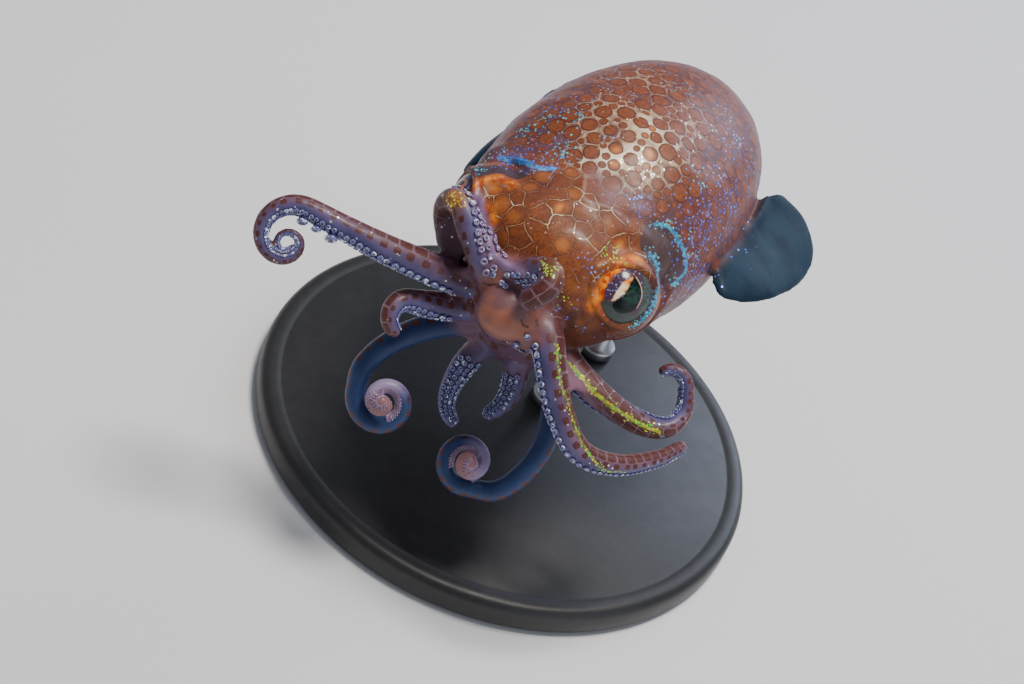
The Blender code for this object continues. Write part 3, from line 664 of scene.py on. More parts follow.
# Kind, pixel of the photograph, radius in mm, strength
SHINE_SPOTS = [
    # The gold and white spots round the mantle's top paint the glow of the light there: a painted highlight
    # over the skin's own gold network.
    ("gold", (640, 160), 2.6, 1.0), ("gold", (618, 158), 1.8, 1.0), ("gold", (650, 128), 3.4, 0.8),
    ("gold", (612, 112), 3.4, 0.6), ("gold", (640, 78), 3.6, 0.5), ("gold", (690, 120), 3.0, 0.5),
    ("gold", (590, 130), 2.0, 0.6), ("gold", (665, 165), 2.4, 0.5),
    ("white", (612, 182), 1.5, 0.6), ("white", (582, 162), 2.0, 0.8), ("white", (640, 158), 2.6, 1.0),
    ("white", (608, 160), 2.2, 0.9), ("white", (668, 150), 2.4, 0.8), ("white", (690, 136), 2.0, 0.5),
    ("white", (665, 100), 2.4, 0.3), ("pale", (612, 196), 1.6, 0.8), ("pale", (600, 182), 1.4, 0.5),
    ("plain", (575, 265), 2.6, 1.0), ("plain", (598, 320), 2.8, 1.0), ("plain", (570, 300), 2.6, 1.0),
    ("plain", (560, 330), 2.2, 1.0), ("plain", (620, 250), 1.6, 1.0), ("blue", (572, 302), 1.2, 0.30),
    ("blue", (592, 330), 1.4, 0.30), ("gold", (520, 212), 1.8, 0.30), ("gold", (545, 212), 1.5, 0.35),
    ("gold", (502, 230), 1.2, 0.25), ("gold", (600, 250), 1.6, 0.30), ("gold", (560, 265), 1.6, 0.25),
    ("pale", (640, 212), 1.2, 0.7), ("pale", (592, 172), 1.0, 0.6),
    ("cyan", (560, 150), 1.4, 0.8), ("cyan", (545, 166), 1.1, 0.9), ("cyan", (533, 130), 1.3, 0.7),
    ("cyan", (548, 118), 1.2, 0.6), ("cyan", (578, 112), 1.8, 0.35), ("cyan", (700, 185), 2.0, 0.3),
    ("cyan", (690, 232), 1.2, 0.8), ("cyan", (694, 258), 1.0, 0.8), ("cyan", (735, 135), 1.6, 0.4),
    ("cyan", (505, 152), 1.1, 0.6), ("cyan", (477, 170), 0.9, 0.9), ("cyan", (488, 161), 0.8, 0.8),
    ("cyan", (685, 90), 1.8, 0.25),
    ("blue", (505, 160), 1.8, 0.7), ("blue", (533, 150), 2.0, 0.5), ("blue", (700, 228), 2.6, 0.7),
    ("blue", (692, 280), 2.2, 0.7), ("blue", (728, 205), 3.0, 0.5), ("blue", (742, 155), 3.0, 0.4),
    ("blue", (665, 300), 1.6, 0.4), ("blue", (560, 105), 2.4, 0.25), ("blue", (640, 205), 1.0, 0.7),
    ("white", (576, 273), 0.8, 0.8), ("white", (596, 276), 0.6, 0.7), ("blue", (590, 264), 1.1, 0.6),
    ("green", (613, 255), 0.9, 0.9), ("gold", (620, 244), 1.0, 0.9), ("gold", (641, 256), 0.6, 1.0),
    ("gold", (584, 240), 0.8, 0.8), ("cyan", (597, 262), 0.8, 0.6), ("green", (565, 297), 0.6, 0.7),
    ("orange", (606, 262), 0.8, 0.4), ("orange", (586, 288), 0.9, 0.35), ("orange", (600, 312), 0.7, 0.35),
    ("gold", (496, 220), 0.4, 1.0), ("orange", (491, 207), 0.7, 0.8), ("gold", (489, 193), 0.7, 0.9),
    ("orange", (495, 190), 0.9, 0.5), ("gold", (456, 196), 1.0, 1.0), ("gold", (452, 201), 0.7, 1.0),
    # the dark spots from here on are painted shade
    ("green", (463, 193), 0.5, 0.6), ("dark", (456, 244), 2.4, 1.0), ("dark", (459, 256), 2.2, 1.0),
    ("green", (549, 270), 0.8, 1.0), ("cyan", (549, 269), 0.6, 0.6),
    ("white", (530, 275), 0.6, 0.5), ("cyan", (617, 335), 0.6, 0.6), ("cyan", (660, 433), 0.7, 0.5),
    ("white", (545, 392), 0.25, 1.0), ("white", (592, 462), 0.25, 1.0),
    ("dark", (574, 318), 2.0, 0.7), ("dark", (596, 340), 2.2, 0.8), ("dark", (560, 292), 1.2, 0.45),
    ("dark", (520, 170), 1.2, 0.7), ("dark", (495, 168), 1.0, 0.6), ("dark", (545, 182), 1.4, 0.6),
    ("dark", (476, 172), 0.8, 0.6), ("dark", (665, 308), 1.2, 0.5),
]


def shine_masks(verts, tree):
    """How strongly each kind of light-catching mark shows at each vertex."""
    masks = {kind: np.zeros(len(verts)) for kind in SHINE_KINDS}
    masks.update({kind + "_line": np.zeros(len(verts)) for kind in SHINE_KINDS})

    def lay(kind, points, width, strength):
        points = np.asarray(points)
        low, high = points.min(0) - 3 * width, points.max(0) + 3 * width
        near = np.nonzero(((verts > low) & (verts < high)).all(axis=1))[0]
        d = np.sqrt(((verts[near, None] - points[None]) ** 2).sum(2)).min(1)
        masks[kind][near] = np.maximum(masks[kind][near], strength * np.exp(-(d / width) ** 2))

    for kind, way, width, strength in SHINE_LINES:
        points = seen(tree, way)
        if len(points) < 2:
            continue
        line = settle(tree, smooth_line(points, 0.15))
        lay(kind + "_line", line, width, strength)
        lay(kind, line, width * (1.5 if kind == "green" else 2.2), strength)
    for kind, pixel, width, strength in SHINE_SPOTS:
        points = seen(tree, [pixel])
        if points:
            lay(kind, points, width, strength)
    return masks


def scattered(verts, spacing):
    """Points of the surface no closer than the spacing, which may differ from place to place."""
    taken = {}
    chosen = []
    for i in dice.permutation(len(verts)):
        gap = spacing[i]
        if gap <= 0:
            continue
        p = verts[i]
        cell = tuple(int(v) for v in np.floor(p))
        reach = int(ceil(gap))
        near = product(*(range(v - reach, v + reach + 1) for v in cell))
        if not any((p[0] - q[0]) ** 2 + (p[1] - q[1]) ** 2 + (p[2] - q[2]) ** 2 < gap * gap
                   for at in near for q in taken.get(at, ())):
            taken.setdefault(cell, []).append(p)
            chosen.append(i)
    return np.array(chosen)


def nearest_two(tree, centres, sizes):
    """The two spots that lie nearest to each centre, in their own radii."""
    first = np.zeros(len(centres), int)
    second = np.zeros(len(centres), int)
    for i, p in enumerate(centres):
        found = sorted((hit[2] / sizes[hit[1]], hit[1]) for hit in tree.find_n(p, 5))
        first[i] = found[0][1]
        second[i] = found[1][1]
    return first, second


def limb_spots(limb):
    """Pigment spots along a limb: distance, turn from the outer side, radius."""
    spots = []
    s = 1.0
    while s < limb.length - 0.2:
        r = limb.radius(s)
        if limb.name.startswith("tentacle"):
            if s < limb.length * 0.85:
                for turn in (-0.55, 0.55):
                    spots.append((s + dice.uniform(-0.1, 0.1), turn + dice.uniform(-0.1, 0.1),
                                  0.24 * r + 0.10))
            s += 0.55 + 0.45 * r
            continue
        size = 0.40 * r + 0.10
        for turn in (-0.5, 0.5):
            spots.append((s + dice.uniform(-0.06, 0.06), turn, size * dice.uniform(0.9, 1.05)))
        for turn in (-1.35, 1.35):
            spots.append((s + size + dice.uniform(-0.15, 0.15), turn,
                          size * dice.uniform(0.42, 0.6)))
        s += size * 2.05
    return np.array(spots)


# Spacing and radius in mm of the pigment spots on the parts of the body
BODY_SPOTS = {"mantle": (1.52, 0.80)}
for its_names, its_spots in ((("head", "neck", "nape", "nape_left"), (1.3, 0.92)),
                             (("bulge_left", "bulge_right"), (1.25, 0.9)),
                             (("crown", "crown_low"), (1.2, 0.6)),
                             (("funnel", "funnel_root"), (1.5, 0.4)),
                             (("fin_left", "fin_right"), (1.9, 0.22))):
    BODY_SPOTS.update(dict.fromkeys(its_names, its_spots))


def build_spots(verts, quads, kind_of_face, names):
    """For each corner, its place relative to the two nearest pigment spots, in spot radii."""
    centres = verts[quads].mean(axis=1)
    near_one = np.full((len(quads), 4, 3), 9.0)
    near_two = np.full((len(quads), 4, 3), 9.0)
    chance = np.zeros((len(quads), 4, 3))
    along = np.zeros((len(quads), 4, 3))
    body = np.array([names[k] in BODY_SPOTS for k in kind_of_face])
    spacing = np.zeros(len(verts))
    radius = np.zeros(len(verts))
    for k, name in enumerate(names):
        if name in BODY_SPOTS:
            on = quads[kind_of_face == k].ravel()
            spacing[on], radius[on] = BODY_SPOTS[name]
    below = np.clip((-verts[:, 2] - 3.0) / 5.0, 0, 1) * (spacing > 0)
    spacing *= 1 + 0.5 * below
    chosen = scattered(verts, spacing)
    sizes = radius[chosen] * dice.uniform(0.72, 1.12, len(chosen)) * (1 - 0.35 * below[chosen])
    tree = point_tree(verts[chosen])
    free = np.zeros(len(verts))
    on = np.unique(quads[kind_of_face == names.index("mantle")])
    for v in on:
        near = tree.find(verts[v])
        free[v] = 0.75 if near[2] > sizes[near[1]] + 0.36 else 0.0
    small = scattered(verts, free)
    chosen = np.concatenate([chosen, small])
    sizes = np.concatenate([sizes, dice.uniform(0.26, 0.42, len(small))])
    luck = dice.random(len(chosen))
    tree = point_tree(verts[chosen])
    faces = np.nonzero(body)[0]
    one, two = nearest_two(tree, centres[faces], sizes)
    corner = verts[quads[faces]]
    near_one[faces] = (corner - verts[chosen[one]][:, None]) / sizes[one][:, None, None]
    near_two[faces] = (corner - verts[chosen[two]][:, None]) / sizes[two][:, None, None]
    chance[faces, :, 0] = luck[one][:, None]
    chance[faces, :, 1] = luck[two][:, None]
    for k, name in enumerate(names):
        if name.startswith("core_"):
            along[kind_of_face == k, :, 2] = 1.0
        if name not in limbs:
            continue
        limb = limbs[name]
        faces = np.nonzero(kind_of_face == k)[0]
        used, back = np.unique(quads[faces], return_inverse=True)
        s, phi = limb.where(verts[used])
        s = s[back].reshape(-1, 4)
        phi = phi[back].reshape(-1, 4)
        phi = phi[:, :1] + (phi - phi[:, :1] + pi) % (2 * pi) - pi
        r = limb.radius(s)
        spots = limb_spots(limb)
        tree = point_tree([(at, turn * limb.radius(at), 0.0) for at, turn, _ in spots])
        middle = np.stack([s.mean(1), (phi * r).mean(1), np.zeros(len(faces))], axis=1)
        one, two = nearest_two(tree, middle, spots[:, 2])
        for near, pick in ((near_one, one), (near_two, two)):
            at = spots[pick]
            near[faces, :, 0] = (s - at[:, :1]) / at[:, 2:]
            near[faces, :, 1] = (phi - at[:, 1:2]) * r / at[:, 2:]
            near[faces, :, 2] = 0.0
        luck = dice.random(len(spots))
        chance[faces, :, 0] = luck[one][:, None]
        chance[faces, :, 1] = luck[two][:, None]
        along[faces, :, 0] = s
        along[faces, :, 1] = phi
        along[faces, :, 2] = s / limb.length
    return near_one, near_two, chance, along


def eye_frame(side):
    """The eye's axis, its upward direction and the direction across it, away from the mouth."""
    axis = unit(EYE_AXES[side])
    up = unit(np.array((0, 0, 1.0)) - axis[2] * axis)
    return axis, up, np.cross(up, axis) * side


def shape_eyes(verts, on_head):
    """Opens the skin over each eyeball and raises a soft lid round the opening."""
    for side in (1, -1):
        off = verts - (side * EYE_AT[0], EYE_AT[1], EYE_AT[2])
        axis, up, across = eye_frame(side)
        r = np.linalg.norm(off, axis=1)
        theta = np.degrees(np.arccos(np.clip(off @ axis / r, -1, 1)))
        phi = np.arctan2(off @ up, off @ across)
        edge = 43.0 + 2.0 * np.sin(3 * phi + 0.6)
        near = on_head & (r < 5.0) & (r > 3.0)
        high = 0.16 + 0.12 * np.cos(phi - 2.3)
        lid = high * np.exp(-((theta - edge - 4.0) / 3.4) ** 2)
        lid += 0.07 * np.exp(-((theta - edge - 16) / 4.0) ** 2)
        lid -= 0.28 * ease(np.clip((95.0 - theta) / 35.0, 0, 1))
        inside = ease(np.clip((edge + 1.0 - theta) / 3.5, 0, 1))
        fresh = (r + lid) * (1 - inside) + (EYEBALL - 0.5) * inside
        verts[near] += (off / r[:, None] * (fresh - r)[:, None])[near]
    return verts


def make_mesh(name, verts, faces):
    """A mesh in metres from points in the squid's millimetres."""
    mesh = bpy.data.meshes.new(name)
    placed = (np.asarray(verts, float) + SQUID_AT) * MM
    mesh.from_pydata(placed.tolist(), [], faces if isinstance(faces, list) else faces.tolist())
    mesh.polygons.foreach_set("use_smooth", [True] * len(mesh.polygons))
    mesh.update()
    return mesh


def make_piece(name, mesh, look, replaced=()):
    """Puts a mesh into the scene as a piece of the model, in place of some nodes."""
    made = bpy.data.objects.new(name, mesh)
    bpy.context.scene.collection.objects.link(made)
    mesh.materials.append(look)
    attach(made, "root")
    if replaced:
        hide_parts(*replaced)


def store(mesh, name, values, domain="POINT"):
    """Keeps three numbers for each vertex or corner under a name that the material reads."""
    layer = mesh.attributes.new(name, "FLOAT_VECTOR", domain)
    layer.data.foreach_set("vector", np.ascontiguousarray(values, dtype=np.float32).ravel())


# What the skin's attributes hold: shares of the kinds of flesh, and masks of the marks
KIND_LAYERS = {"kind_a": ("mantle", "head", "arm"), "kind_b": ("tentacle", "bulb", "collar"),
               "kind_c": ("fin", "funnel", "web")}
SHINE_LAYERS = {"shine_a": ("gold", "cyan", "blue"), "shine_b": ("green", "white", "orange"),
                "shine_c": ("plain", "dark", "pale"),
                "shine_d": ("cyan_line", "green_line", "orange_line"),
                "shine_e": ("white_line", "lilac_line", "blue_line"),
                "shine_f": ("oval_line", "thread_line", "dark_line")}


def build_skin(look):
    """One skin over all the flesh, with what its material needs at each vertex and corner."""
    parts = collect_parts()
    tree = BVHTree.FromPolygons(*combined([p for p in parts if p[1] != "web"]))
    for name, (way, radii) in RIDGES.items():
        points = seen(tree, way)
        line = settle(tree, smooth_line(points, 0.15))
        parts.append((name, "web" if name.startswith("band") else "head", *rod_form(line, radii)))
    verts, quads = fuse(parts, VOXEL)
    far = distances(verts, parts)
    order = np.sort(far, axis=1)
    seam = np.exp(-((order[:, 1] - order[:, 0]) / 0.7) ** 2)
    verts = relax(verts, quads, 3)
    verts = relax(verts, quads, 14, 0.15 + 0.85 * seam)
    thin = np.array([part[1] == "fin" for part in parts])
    verts = relax(verts, quads, 10, np.exp(-(far[:, thin].min(axis=1) / 0.4) ** 2))
    weight = np.exp(-(far / 0.5) ** 2) + 1e-9 * np.exp(-far)
    kinds = {}
    for k, part in enumerate(parts):
        kinds[part[1]] = kinds.get(part[1], 0) + weight[:, k]
    total = sum(kinds.values())
    kinds = {kind: value / total for kind, value in kinds.items()}
    verts = shape_eyes(verts, kinds["head"] > 0.4)
    names = [p[0] for p in parts]
    part_of_face = far[quads].mean(axis=1).argmin(axis=1)
    masks = shine_masks(verts, BVHTree.FromPolygons(verts.tolist(), quads.tolist()))
    spots = build_spots(verts, quads, part_of_face, names)
    verts = verts + vertex_normals(verts, quads) * undulation(verts, kinds)[:, None]
    mesh = make_mesh("skin", verts, quads)
    for layers, values in ((KIND_LAYERS, kinds), (SHINE_LAYERS, masks)):
        for layer, three in layers.items():
            store(mesh, layer, np.stack([values[name] for name in three], 1))
    for layer, values in zip(("spot_one", "spot_two", "spot_luck", "along"), spots):
        store(mesh, layer, values.reshape(-1, 3), "CORNER")
    flesh = ["mantle", "head", "collar_left", "collar_right", "crown", "mouth_bulb", "funnel",
             "fin_left", "fin_right"]
    flesh += [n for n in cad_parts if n.startswith(("arm_", "tentacle_"))]
    make_piece("skin", mesh, look, flesh)
    return BVHTree.FromPolygons(verts.tolist(), quads.tolist())


def undulation(verts, kinds):
    """Slight unevenness of soft flesh, in mm."""
    lift = [0.07 * noise(Vector(p) * 0.45) + 0.02 * noise(Vector(p) * 1.6) for p in verts]
    return np.array(lift) * (kinds["mantle"] + kinds["head"] + 0.3)


# Colours that run from one tone to another
TONES = {
    "mantle": ((0.085, 0.032, 0.040), (0.150, 0.055, 0.052)),
    "head": ((0.13, 0.030, 0.010), (0.24, 0.065, 0.014)),
    "arm": ((0.105, 0.048, 0.085), (0.165, 0.085, 0.120)),
    "arm_inner": ((0.060, 0.052, 0.150), (0.105, 0.095, 0.230)),
    "stalk": ((0.010, 0.018, 0.085), (0.022, 0.055, 0.150)),
    "club": ((0.27, 0.21, 0.36), (0.24, 0.110, 0.120)),
    "bulb": ((0.33, 0.115, 0.070), (0.17, 0.075, 0.080)),
    "collar": ((0.052, 0.026, 0.026), (0.085, 0.045, 0.042)),
    "fin": ((0.007, 0.018, 0.036), (0.014, 0.034, 0.058)),
    "funnel": ((0.17, 0.10, 0.13), (0.25, 0.14, 0.13)),
    "web": ((0.15, 0.07, 0.13), (0.22, 0.10, 0.15)),
    # Lilac: the colour of the painted edge highlight
    "lilac": ((0.20, 0.12, 0.25), (0.32, 0.20, 0.36)),
    "net": ((0.36, 0.18, 0.10), (0.66, 0.46, 0.24)),
    "disc": ((0.150, 0.034, 0.011), (0.300, 0.080, 0.018)),
    # Bright discs: a painted highlight in the mantle's glow, and the skin's own gold and orange elsewhere
    "lit_disc": ((0.95, 0.36, 0.045), (0.50, 0.125, 0.018)),
    "head_cell": ((0.140, 0.032, 0.010), (0.285, 0.076, 0.015)),
    "arm_disc": ((0.055, 0.011, 0.010), (0.115, 0.026, 0.018)),
    "cell_line": ((0.36, 0.17, 0.065), (0.80, 0.60, 0.33)),
    "ember": ((0.42, 0.050, 0.005), (0.90, 0.28, 0.015)),
    "cup_side": ((0.055, 0.050, 0.170), (0.130, 0.110, 0.280)),
    "cup_side_lilac": ((0.130, 0.075, 0.180), (0.230, 0.150, 0.290)),
    "cup_ring": ((0.090, 0.100, 0.270), (0.200, 0.230, 0.460)),
    "cup_ring_lilac": ((0.260, 0.130, 0.190), (0.330, 0.240, 0.420)),
    "cup_pit": ((0.050, 0.050, 0.170), (0.110, 0.090, 0.230)),
    "iris": ((0.040, 0.018, 0.034), (0.100, 0.050, 0.085)),
    "iris_low": ((0.034, 0.050, 0.046), (0.080, 0.100, 0.090)),
    "iris_speck": ((0.05, 0.20, 0.60), (0.42, 0.36, 0.66)),
    "eye_glow": ((0.50, 0.055, 0.004), (1.0, 0.36, 0.015)),
    "eye_flap": ((1.0, 0.55, 0.16), (1.0, 0.86, 0.62)),
    "pupil": ((0.0015, 0.004, 0.003), (0.002, 0.040, 0.022)),
}

# Single colours
TINTS = {
    "blue_flesh": (0.105, 0.075, 0.20), "deep_spot": (0.125, 0.030, 0.014),
    # The first tint on the next line is the network's painted highlight where the mantle glows.
    "painted_highlight_net": (1.0, 0.86, 0.60), "pale": (0.34, 0.24, 0.30), "dull_disc": (0.155, 0.036, 0.014),
    "bright_cell": (0.42, 0.125, 0.018), "dull_cell": (0.110, 0.030, 0.014),
    "disc_rim": (0.060, 0.010, 0.005), "cell_border": (0.070, 0.015, 0.007),
    "nape_line": (0.50, 0.36, 0.34), "eye_shade": (0.075, 0.030, 0.055),
    "arm_line": (0.36, 0.20, 0.13), "shade": (0.060, 0.036, 0.050),
    "thread": (0.050, 0.010, 0.006), "arm_gold": (0.36, 0.15, 0.012),
    # The glint tint is a painted highlight.
    "glint": (0.80, 0.88, 1.0), "pupil_rim": (0.60, 0.40, 0.28),
}


class Value:
    """A number in a material, which takes part in sums as a plain number does."""

    def __init__(self, look, socket):
        self.look, self.socket = look, socket

    def __mul__(self, other):
        return self.look.math("MULTIPLY", self, other)

    def __add__(self, other):
        return self.look.math("ADD", self, other)

    def __radd__(self, other):
        return self.look.math("ADD", other, self)

    def __sub__(self, other):
        return self.look.math("SUBTRACT", self, other)

    def __rsub__(self, other):
        return self.look.math("SUBTRACT", other, self)

    def __abs__(self):
        return self.look.math("ABSOLUTE", self)


class Look:
    """A material and short calls for its nodes."""

    def __init__(self, name):
        self.material = bpy.data.materials.new(name)
        self.material.use_nodes = True
        self.tree = self.material.node_tree
        self.shader = self.tree.nodes["Principled BSDF"]

    def put(self, socket, value):
        """Links a socket to another socket, or sets a plain value on it."""
        if isinstance(value, Value):
            value = value.socket
        if isinstance(value, bpy.types.NodeSocket):
            self.tree.links.new(value, socket)
        elif isinstance(value, tuple) and len(value) == 3 and socket.type == "RGBA":
            socket.default_value = (*value, 1.0)
        else:
            socket.default_value = value

    def node(self, kind, inputs, **settings):
        """A new node with its settings, and the values or sockets that go into it."""
        made = self.tree.nodes.new(kind)
        for key, value in settings.items():
            setattr(made, key, value)
        for key, value in inputs.items():
            self.put(made.inputs[key], value)
        return made

    def set(self, **values):
        """Sets the shader's inputs, whose names have spaces for the underscores here."""
        for key, value in values.items():
            self.put(self.shader.inputs[key.replace("_", " ")], value)

    def math(self, operation, a, b=0.0, clamp=False):
        made = self.node("ShaderNodeMath", {0: a, 1: b}, operation=operation, use_clamp=clamp)
        return Value(self, made.outputs[0])

    def most(self, a, b):
        return self.math("MAXIMUM", a, b)

    def vector(self, operation, a, b=(0.0, 0.0, 0.0), scale=1.0):
        made = self.node("ShaderNodeVectorMath", {0: a, 1: b, 3: scale}, operation=operation)
        return Value(self, made.outputs["Value"]) if operation == "LENGTH" else made.outputs["Vector"]

    def step(self, value, low, high):
        """0 below low and 1 above high, with a smooth change between them."""
        made = self.node("ShaderNodeMapRange", {0: value, 1: low, 2: high},
                         interpolation_type="SMOOTHSTEP")
        return Value(self, made.outputs[0])

    def mix(self, amount, a, b):
        """A colour or a vector between two others."""
        return self.node("ShaderNodeMix", {0: amount, 6: a, 7: b}, data_type="RGBA").outputs[2]

    def tones(self, name, amount):
        return self.mix(amount, *TONES[name])

    def blend(self, amount, a, b):
        """A number between two others."""
        made = self.node("ShaderNodeMix", {0: amount, 2: a, 3: b}, data_type="FLOAT")
        return Value(self, made.outputs[0])

    def stored(self, name):
        return self.node("ShaderNodeAttribute", {}, attribute_name=name).outputs["Vector"]

    def parts(self, vector):
        made = self.node("ShaderNodeSeparateXYZ", {0: vector})
        return [Value(self, made.outputs[k]) for k in range(3)]

    def masks(self, name):
        """The three numbers that an attribute of the mesh holds."""
        return self.parts(self.stored(name))

    def noise(self, vector, scale, detail=2.0, colour=False):
        made = self.node("ShaderNodeTexNoise", {"Vector": vector, "Scale": scale, "Detail": detail})
        return made.outputs["Color"] if colour else Value(self, made.outputs["Fac"])

    def cells(self, vector, scale, random=1.0):
        """Distance to the nearest cell point, and a random colour for the cell."""
        made = self.node("ShaderNodeTexVoronoi",
                         {"Vector": vector, "Scale": scale, "Randomness": random})
        return Value(self, made.outputs["Distance"]), made.outputs["Color"]

    def bump(self, height, distance, strength):
        return self.node("ShaderNodeBump", {"Height": height, "Distance": distance,
                                            "Strength": strength}).outputs[0]

    def place(self):
        """Place on the piece in millimetres."""
        at = self.node("ShaderNodeTexCoord", {}).outputs["Object"]
        return self.vector("SCALE", at, scale=1 / MM)


def skin_look():
    """Flesh, pigment spots, light-catching specks and gloss of the skin, with painted highlights, painted
    glints and painted shade in its colour.
    """
    look = Look("squid_skin")
    at = look.place()
    mantle, head, arm = look.masks("kind_a")
    tentacle, bulb, collar = look.masks("kind_b")
    fin, funnel, web = look.masks("kind_c")
    gold, cyan, blue = look.masks("shine_a")
    green, white, orange = look.masks("shine_b")
    plain, dark, pale = look.masks("shine_c")
    cyan_line, green_line, orange_line = look.masks("shine_d")
    white_line, lilac_line, blue_line = look.masks("shine_e")
    oval, thread_line, dark_line = look.masks("shine_f")
    luck_one, luck_two, _ = look.masks("spot_luck")
    _, phi, share = look.masks("along")
    oval = look.step(oval, 0.36, 0.48)
    collar = look.most(collar * 0.8, oval)
    limb = look.math("ADD", arm, tentacle, clamp=True)
    body = look.math("ADD", mantle, head, clamp=True)
    fine = look.noise(at, 3.0, 4.0)
    tone = look.step(look.noise(at, 0.30, 3.0), 0.35, 0.65)
    away = abs(phi)

    # Distance from the two nearest pigment spots, in spot radii. Those of the arms are squarish.
    wobble = look.vector("SUBTRACT", look.noise(at, 1.8, 2.0, True), (0.5, 0.5, 0.5))
    wobble = look.vector("SCALE", wobble, scale=0.36)
    one = look.vector("ADD", look.stored("spot_one"), wobble)
    two = look.vector("ADD", look.stored("spot_two"), wobble)

    def reach(off):
        x, y, _ = look.parts(off)
        return look.blend(arm * 0.7, look.vector("LENGTH", off), look.most(abs(x), abs(y)))

    d_one, d_two = reach(one), reach(two)
    nearer = look.math("MINIMUM", d_one, d_two)
    between = abs(d_one - d_two)
    second = look.step(d_one - d_two, -0.02, 0.02)
    luck = look.blend(second, luck_one, luck_two)
    off_spot = look.step(nearer, 0.93, 1.0)
    inside = look.most(1 - off_spot, head)
    rim = look.step(nearer, 0.74, 0.92) * (1 - off_spot)
    close = look.step(nearer, 1.5, 1.2)
    seam = (1 - look.step(between, 0.05, 0.13)) * close
    outside = look.blend(head, look.step(nearer, 0.96, 1.06), seam)

    # Flesh under the spots, with deeper, blurred spots in the mantle
    arm_flesh = look.mix(look.step(away, 0.9, 2.2), look.tones("arm", tone),
                         look.tones("arm_inner", tone))
    stalk = look.tones("stalk", look.noise(at, 0.5, 2.0))
    club = look.tones("club", look.step(share, 0.86, 0.93))
    deep, _ = look.cells(look.vector("ADD", at, (3.3, 1.7, 0.4)), 0.70, 0.9)
    flesh = look.tones("mantle", tone)
    for mask, own in (
            (head, look.tones("head", tone)),
            (arm, arm_flesh),
            (tentacle, look.mix(look.step(share, 0.74, 0.82), stalk, club)),
            (bulb, look.tones("bulb", look.step(look.noise(at, 0.42, 2.0), 0.38, 0.62))),
            (collar, look.tones("collar", fine)),
            (fin, look.tones("fin", tone)),
            (funnel, look.tones("funnel", tone)),
            (web, look.tones("web", tone)),
            # painted edge highlight along the lilac lines
            (lilac_line, look.tones("lilac", fine)),
            (look.most(blue, cyan * 0.6) * 0.7 * body, TINTS["blue_flesh"]),
            ((1 - look.step(deep, 0.34, 0.52)) * (mantle * 0.8), TINTS["deep_spot"])):
        flesh = look.mix(mask, flesh, own)

    # Pale network between the spots where the gold and white marks lie; where they are strongest, on the
    # mantle's top, it is a painted highlight
    glow = look.most(gold, white)
    seam = seam * (1 - oval) * (1 - head * plain)
    midline = 1 - look.step(between, 0.08, 0.26)
    net = outside * look.blend(look.step(glow, 0.25, 0.75), midline, 1.0)
    net = net * look.step(glow, 0.05, 0.40) * (1 - limb)
    net_colour = look.tones("net", look.step(look.noise(at, 1.6, 4.0), 0.40, 0.60))
    net_colour = look.mix(look.step(glow, 0.50, 0.95), net_colour, TINTS["painted_highlight_net"])
    flesh = look.mix(net * look.math("ADD", 0.5, glow * 0.5, clamp=True), flesh, net_colour)
    flesh = look.mix(pale * 0.75, flesh, TINTS["pale"])

    # Pigment: discs on the mantle and the limbs, cells that touch on the head
    spread = look.vector("NORMALIZE", look.mix(second, one, two))
    spread = look.vector("SCALE", spread, scale=3.0)
    mottle = look.blend(0.55, look.noise(spread, 2.6, 3.0), look.noise(at, 4.0, 3.0))
    mottle = look.step(mottle, 0.36, 0.64)
    disc = look.mix(luck * 0.45, look.tones("disc", mottle), TINTS["dull_disc"])
    cell = look.mix(look.step(luck, 0.45, 1.0) * look.step(nearer, 1.1, 0.4),
                    look.tones("head_cell", mottle), TINTS["bright_cell"])
    cell = look.mix(look.step(look.noise(at, 0.45, 2.0), 0.42, 0.62) * 0.55, cell,
                    TINTS["dull_cell"])
    disc = look.mix(head, disc, cell)
    # Discs in the strong gold marks turn bright: a painted highlight in the glow on the mantle's top, the
    # skin's gold sheen elsewhere; in the orange marks they take their own orange.
    lit = look.most(look.step(gold, 0.5, 1.0) * look.step(luck, 0.40, 0.85), orange * 0.8)
    disc = look.mix(lit * 0.8, disc, look.tones("lit_disc", look.step(nearer, 0.1, 0.8)))
    disc = look.mix(rim * look.blend(head, 0.85, 0.0), disc, TINTS["disc_rim"])
    disc = look.mix(limb, disc, look.tones("arm_disc", mottle))
    strength = (1 - look.math("ADD", fin, collar, clamp=True)) * 0.95
    for bare in (web * 0.85, bulb * 0.95, funnel * 0.6, lilac_line * 0.9, pale * 0.55,
                 mantle * blue * 0.5, tentacle * look.step(share, 0.74, 0.80)):
        strength = strength * (1 - bare)
    colour = look.mix(inside * strength, flesh, disc)

    # Lines, tints and painted shade over them
    border = (1 - look.step(between, 0.16, 0.36)) * close * (1 - oval) * (1 - plain)
    ember = look.step(look.noise(at, 1.6, 3.0), 0.38, 0.62)
    heat = look.most(look.step(orange_line, 0.15, 0.8), look.step(orange, 0.2, 0.9) * 0.6)
    for mask, own in (
            (border * head * 0.85, TINTS["cell_border"]),
            (seam * head * (1 - pale * 0.8), look.tones("cell_line", look.step(glow, 0.15, 0.5))),
            (look.step(white_line, 0.45, 0.95) * 0.4, TINTS["nape_line"]),
            # painted shade along the eye's rear edge
            (look.step(dark_line, 0.3, 0.8) * 0.8, TINTS["eye_shade"]),
            (seam * arm * (1 - look.step(away, 0.7, 1.2)) * 0.6, TINTS["arm_line"]),
            # painted shade where the dark marks lie
            (dark * 0.75, TINTS["shade"]),
            (heat, look.tones("ember", ember)),
            (look.step(thread_line, 0.3, 0.7) * 0.85, TINTS["thread"]),
            (gold * arm * 0.8, TINTS["arm_gold"])):
        colour = look.mix(mask, colour, own)

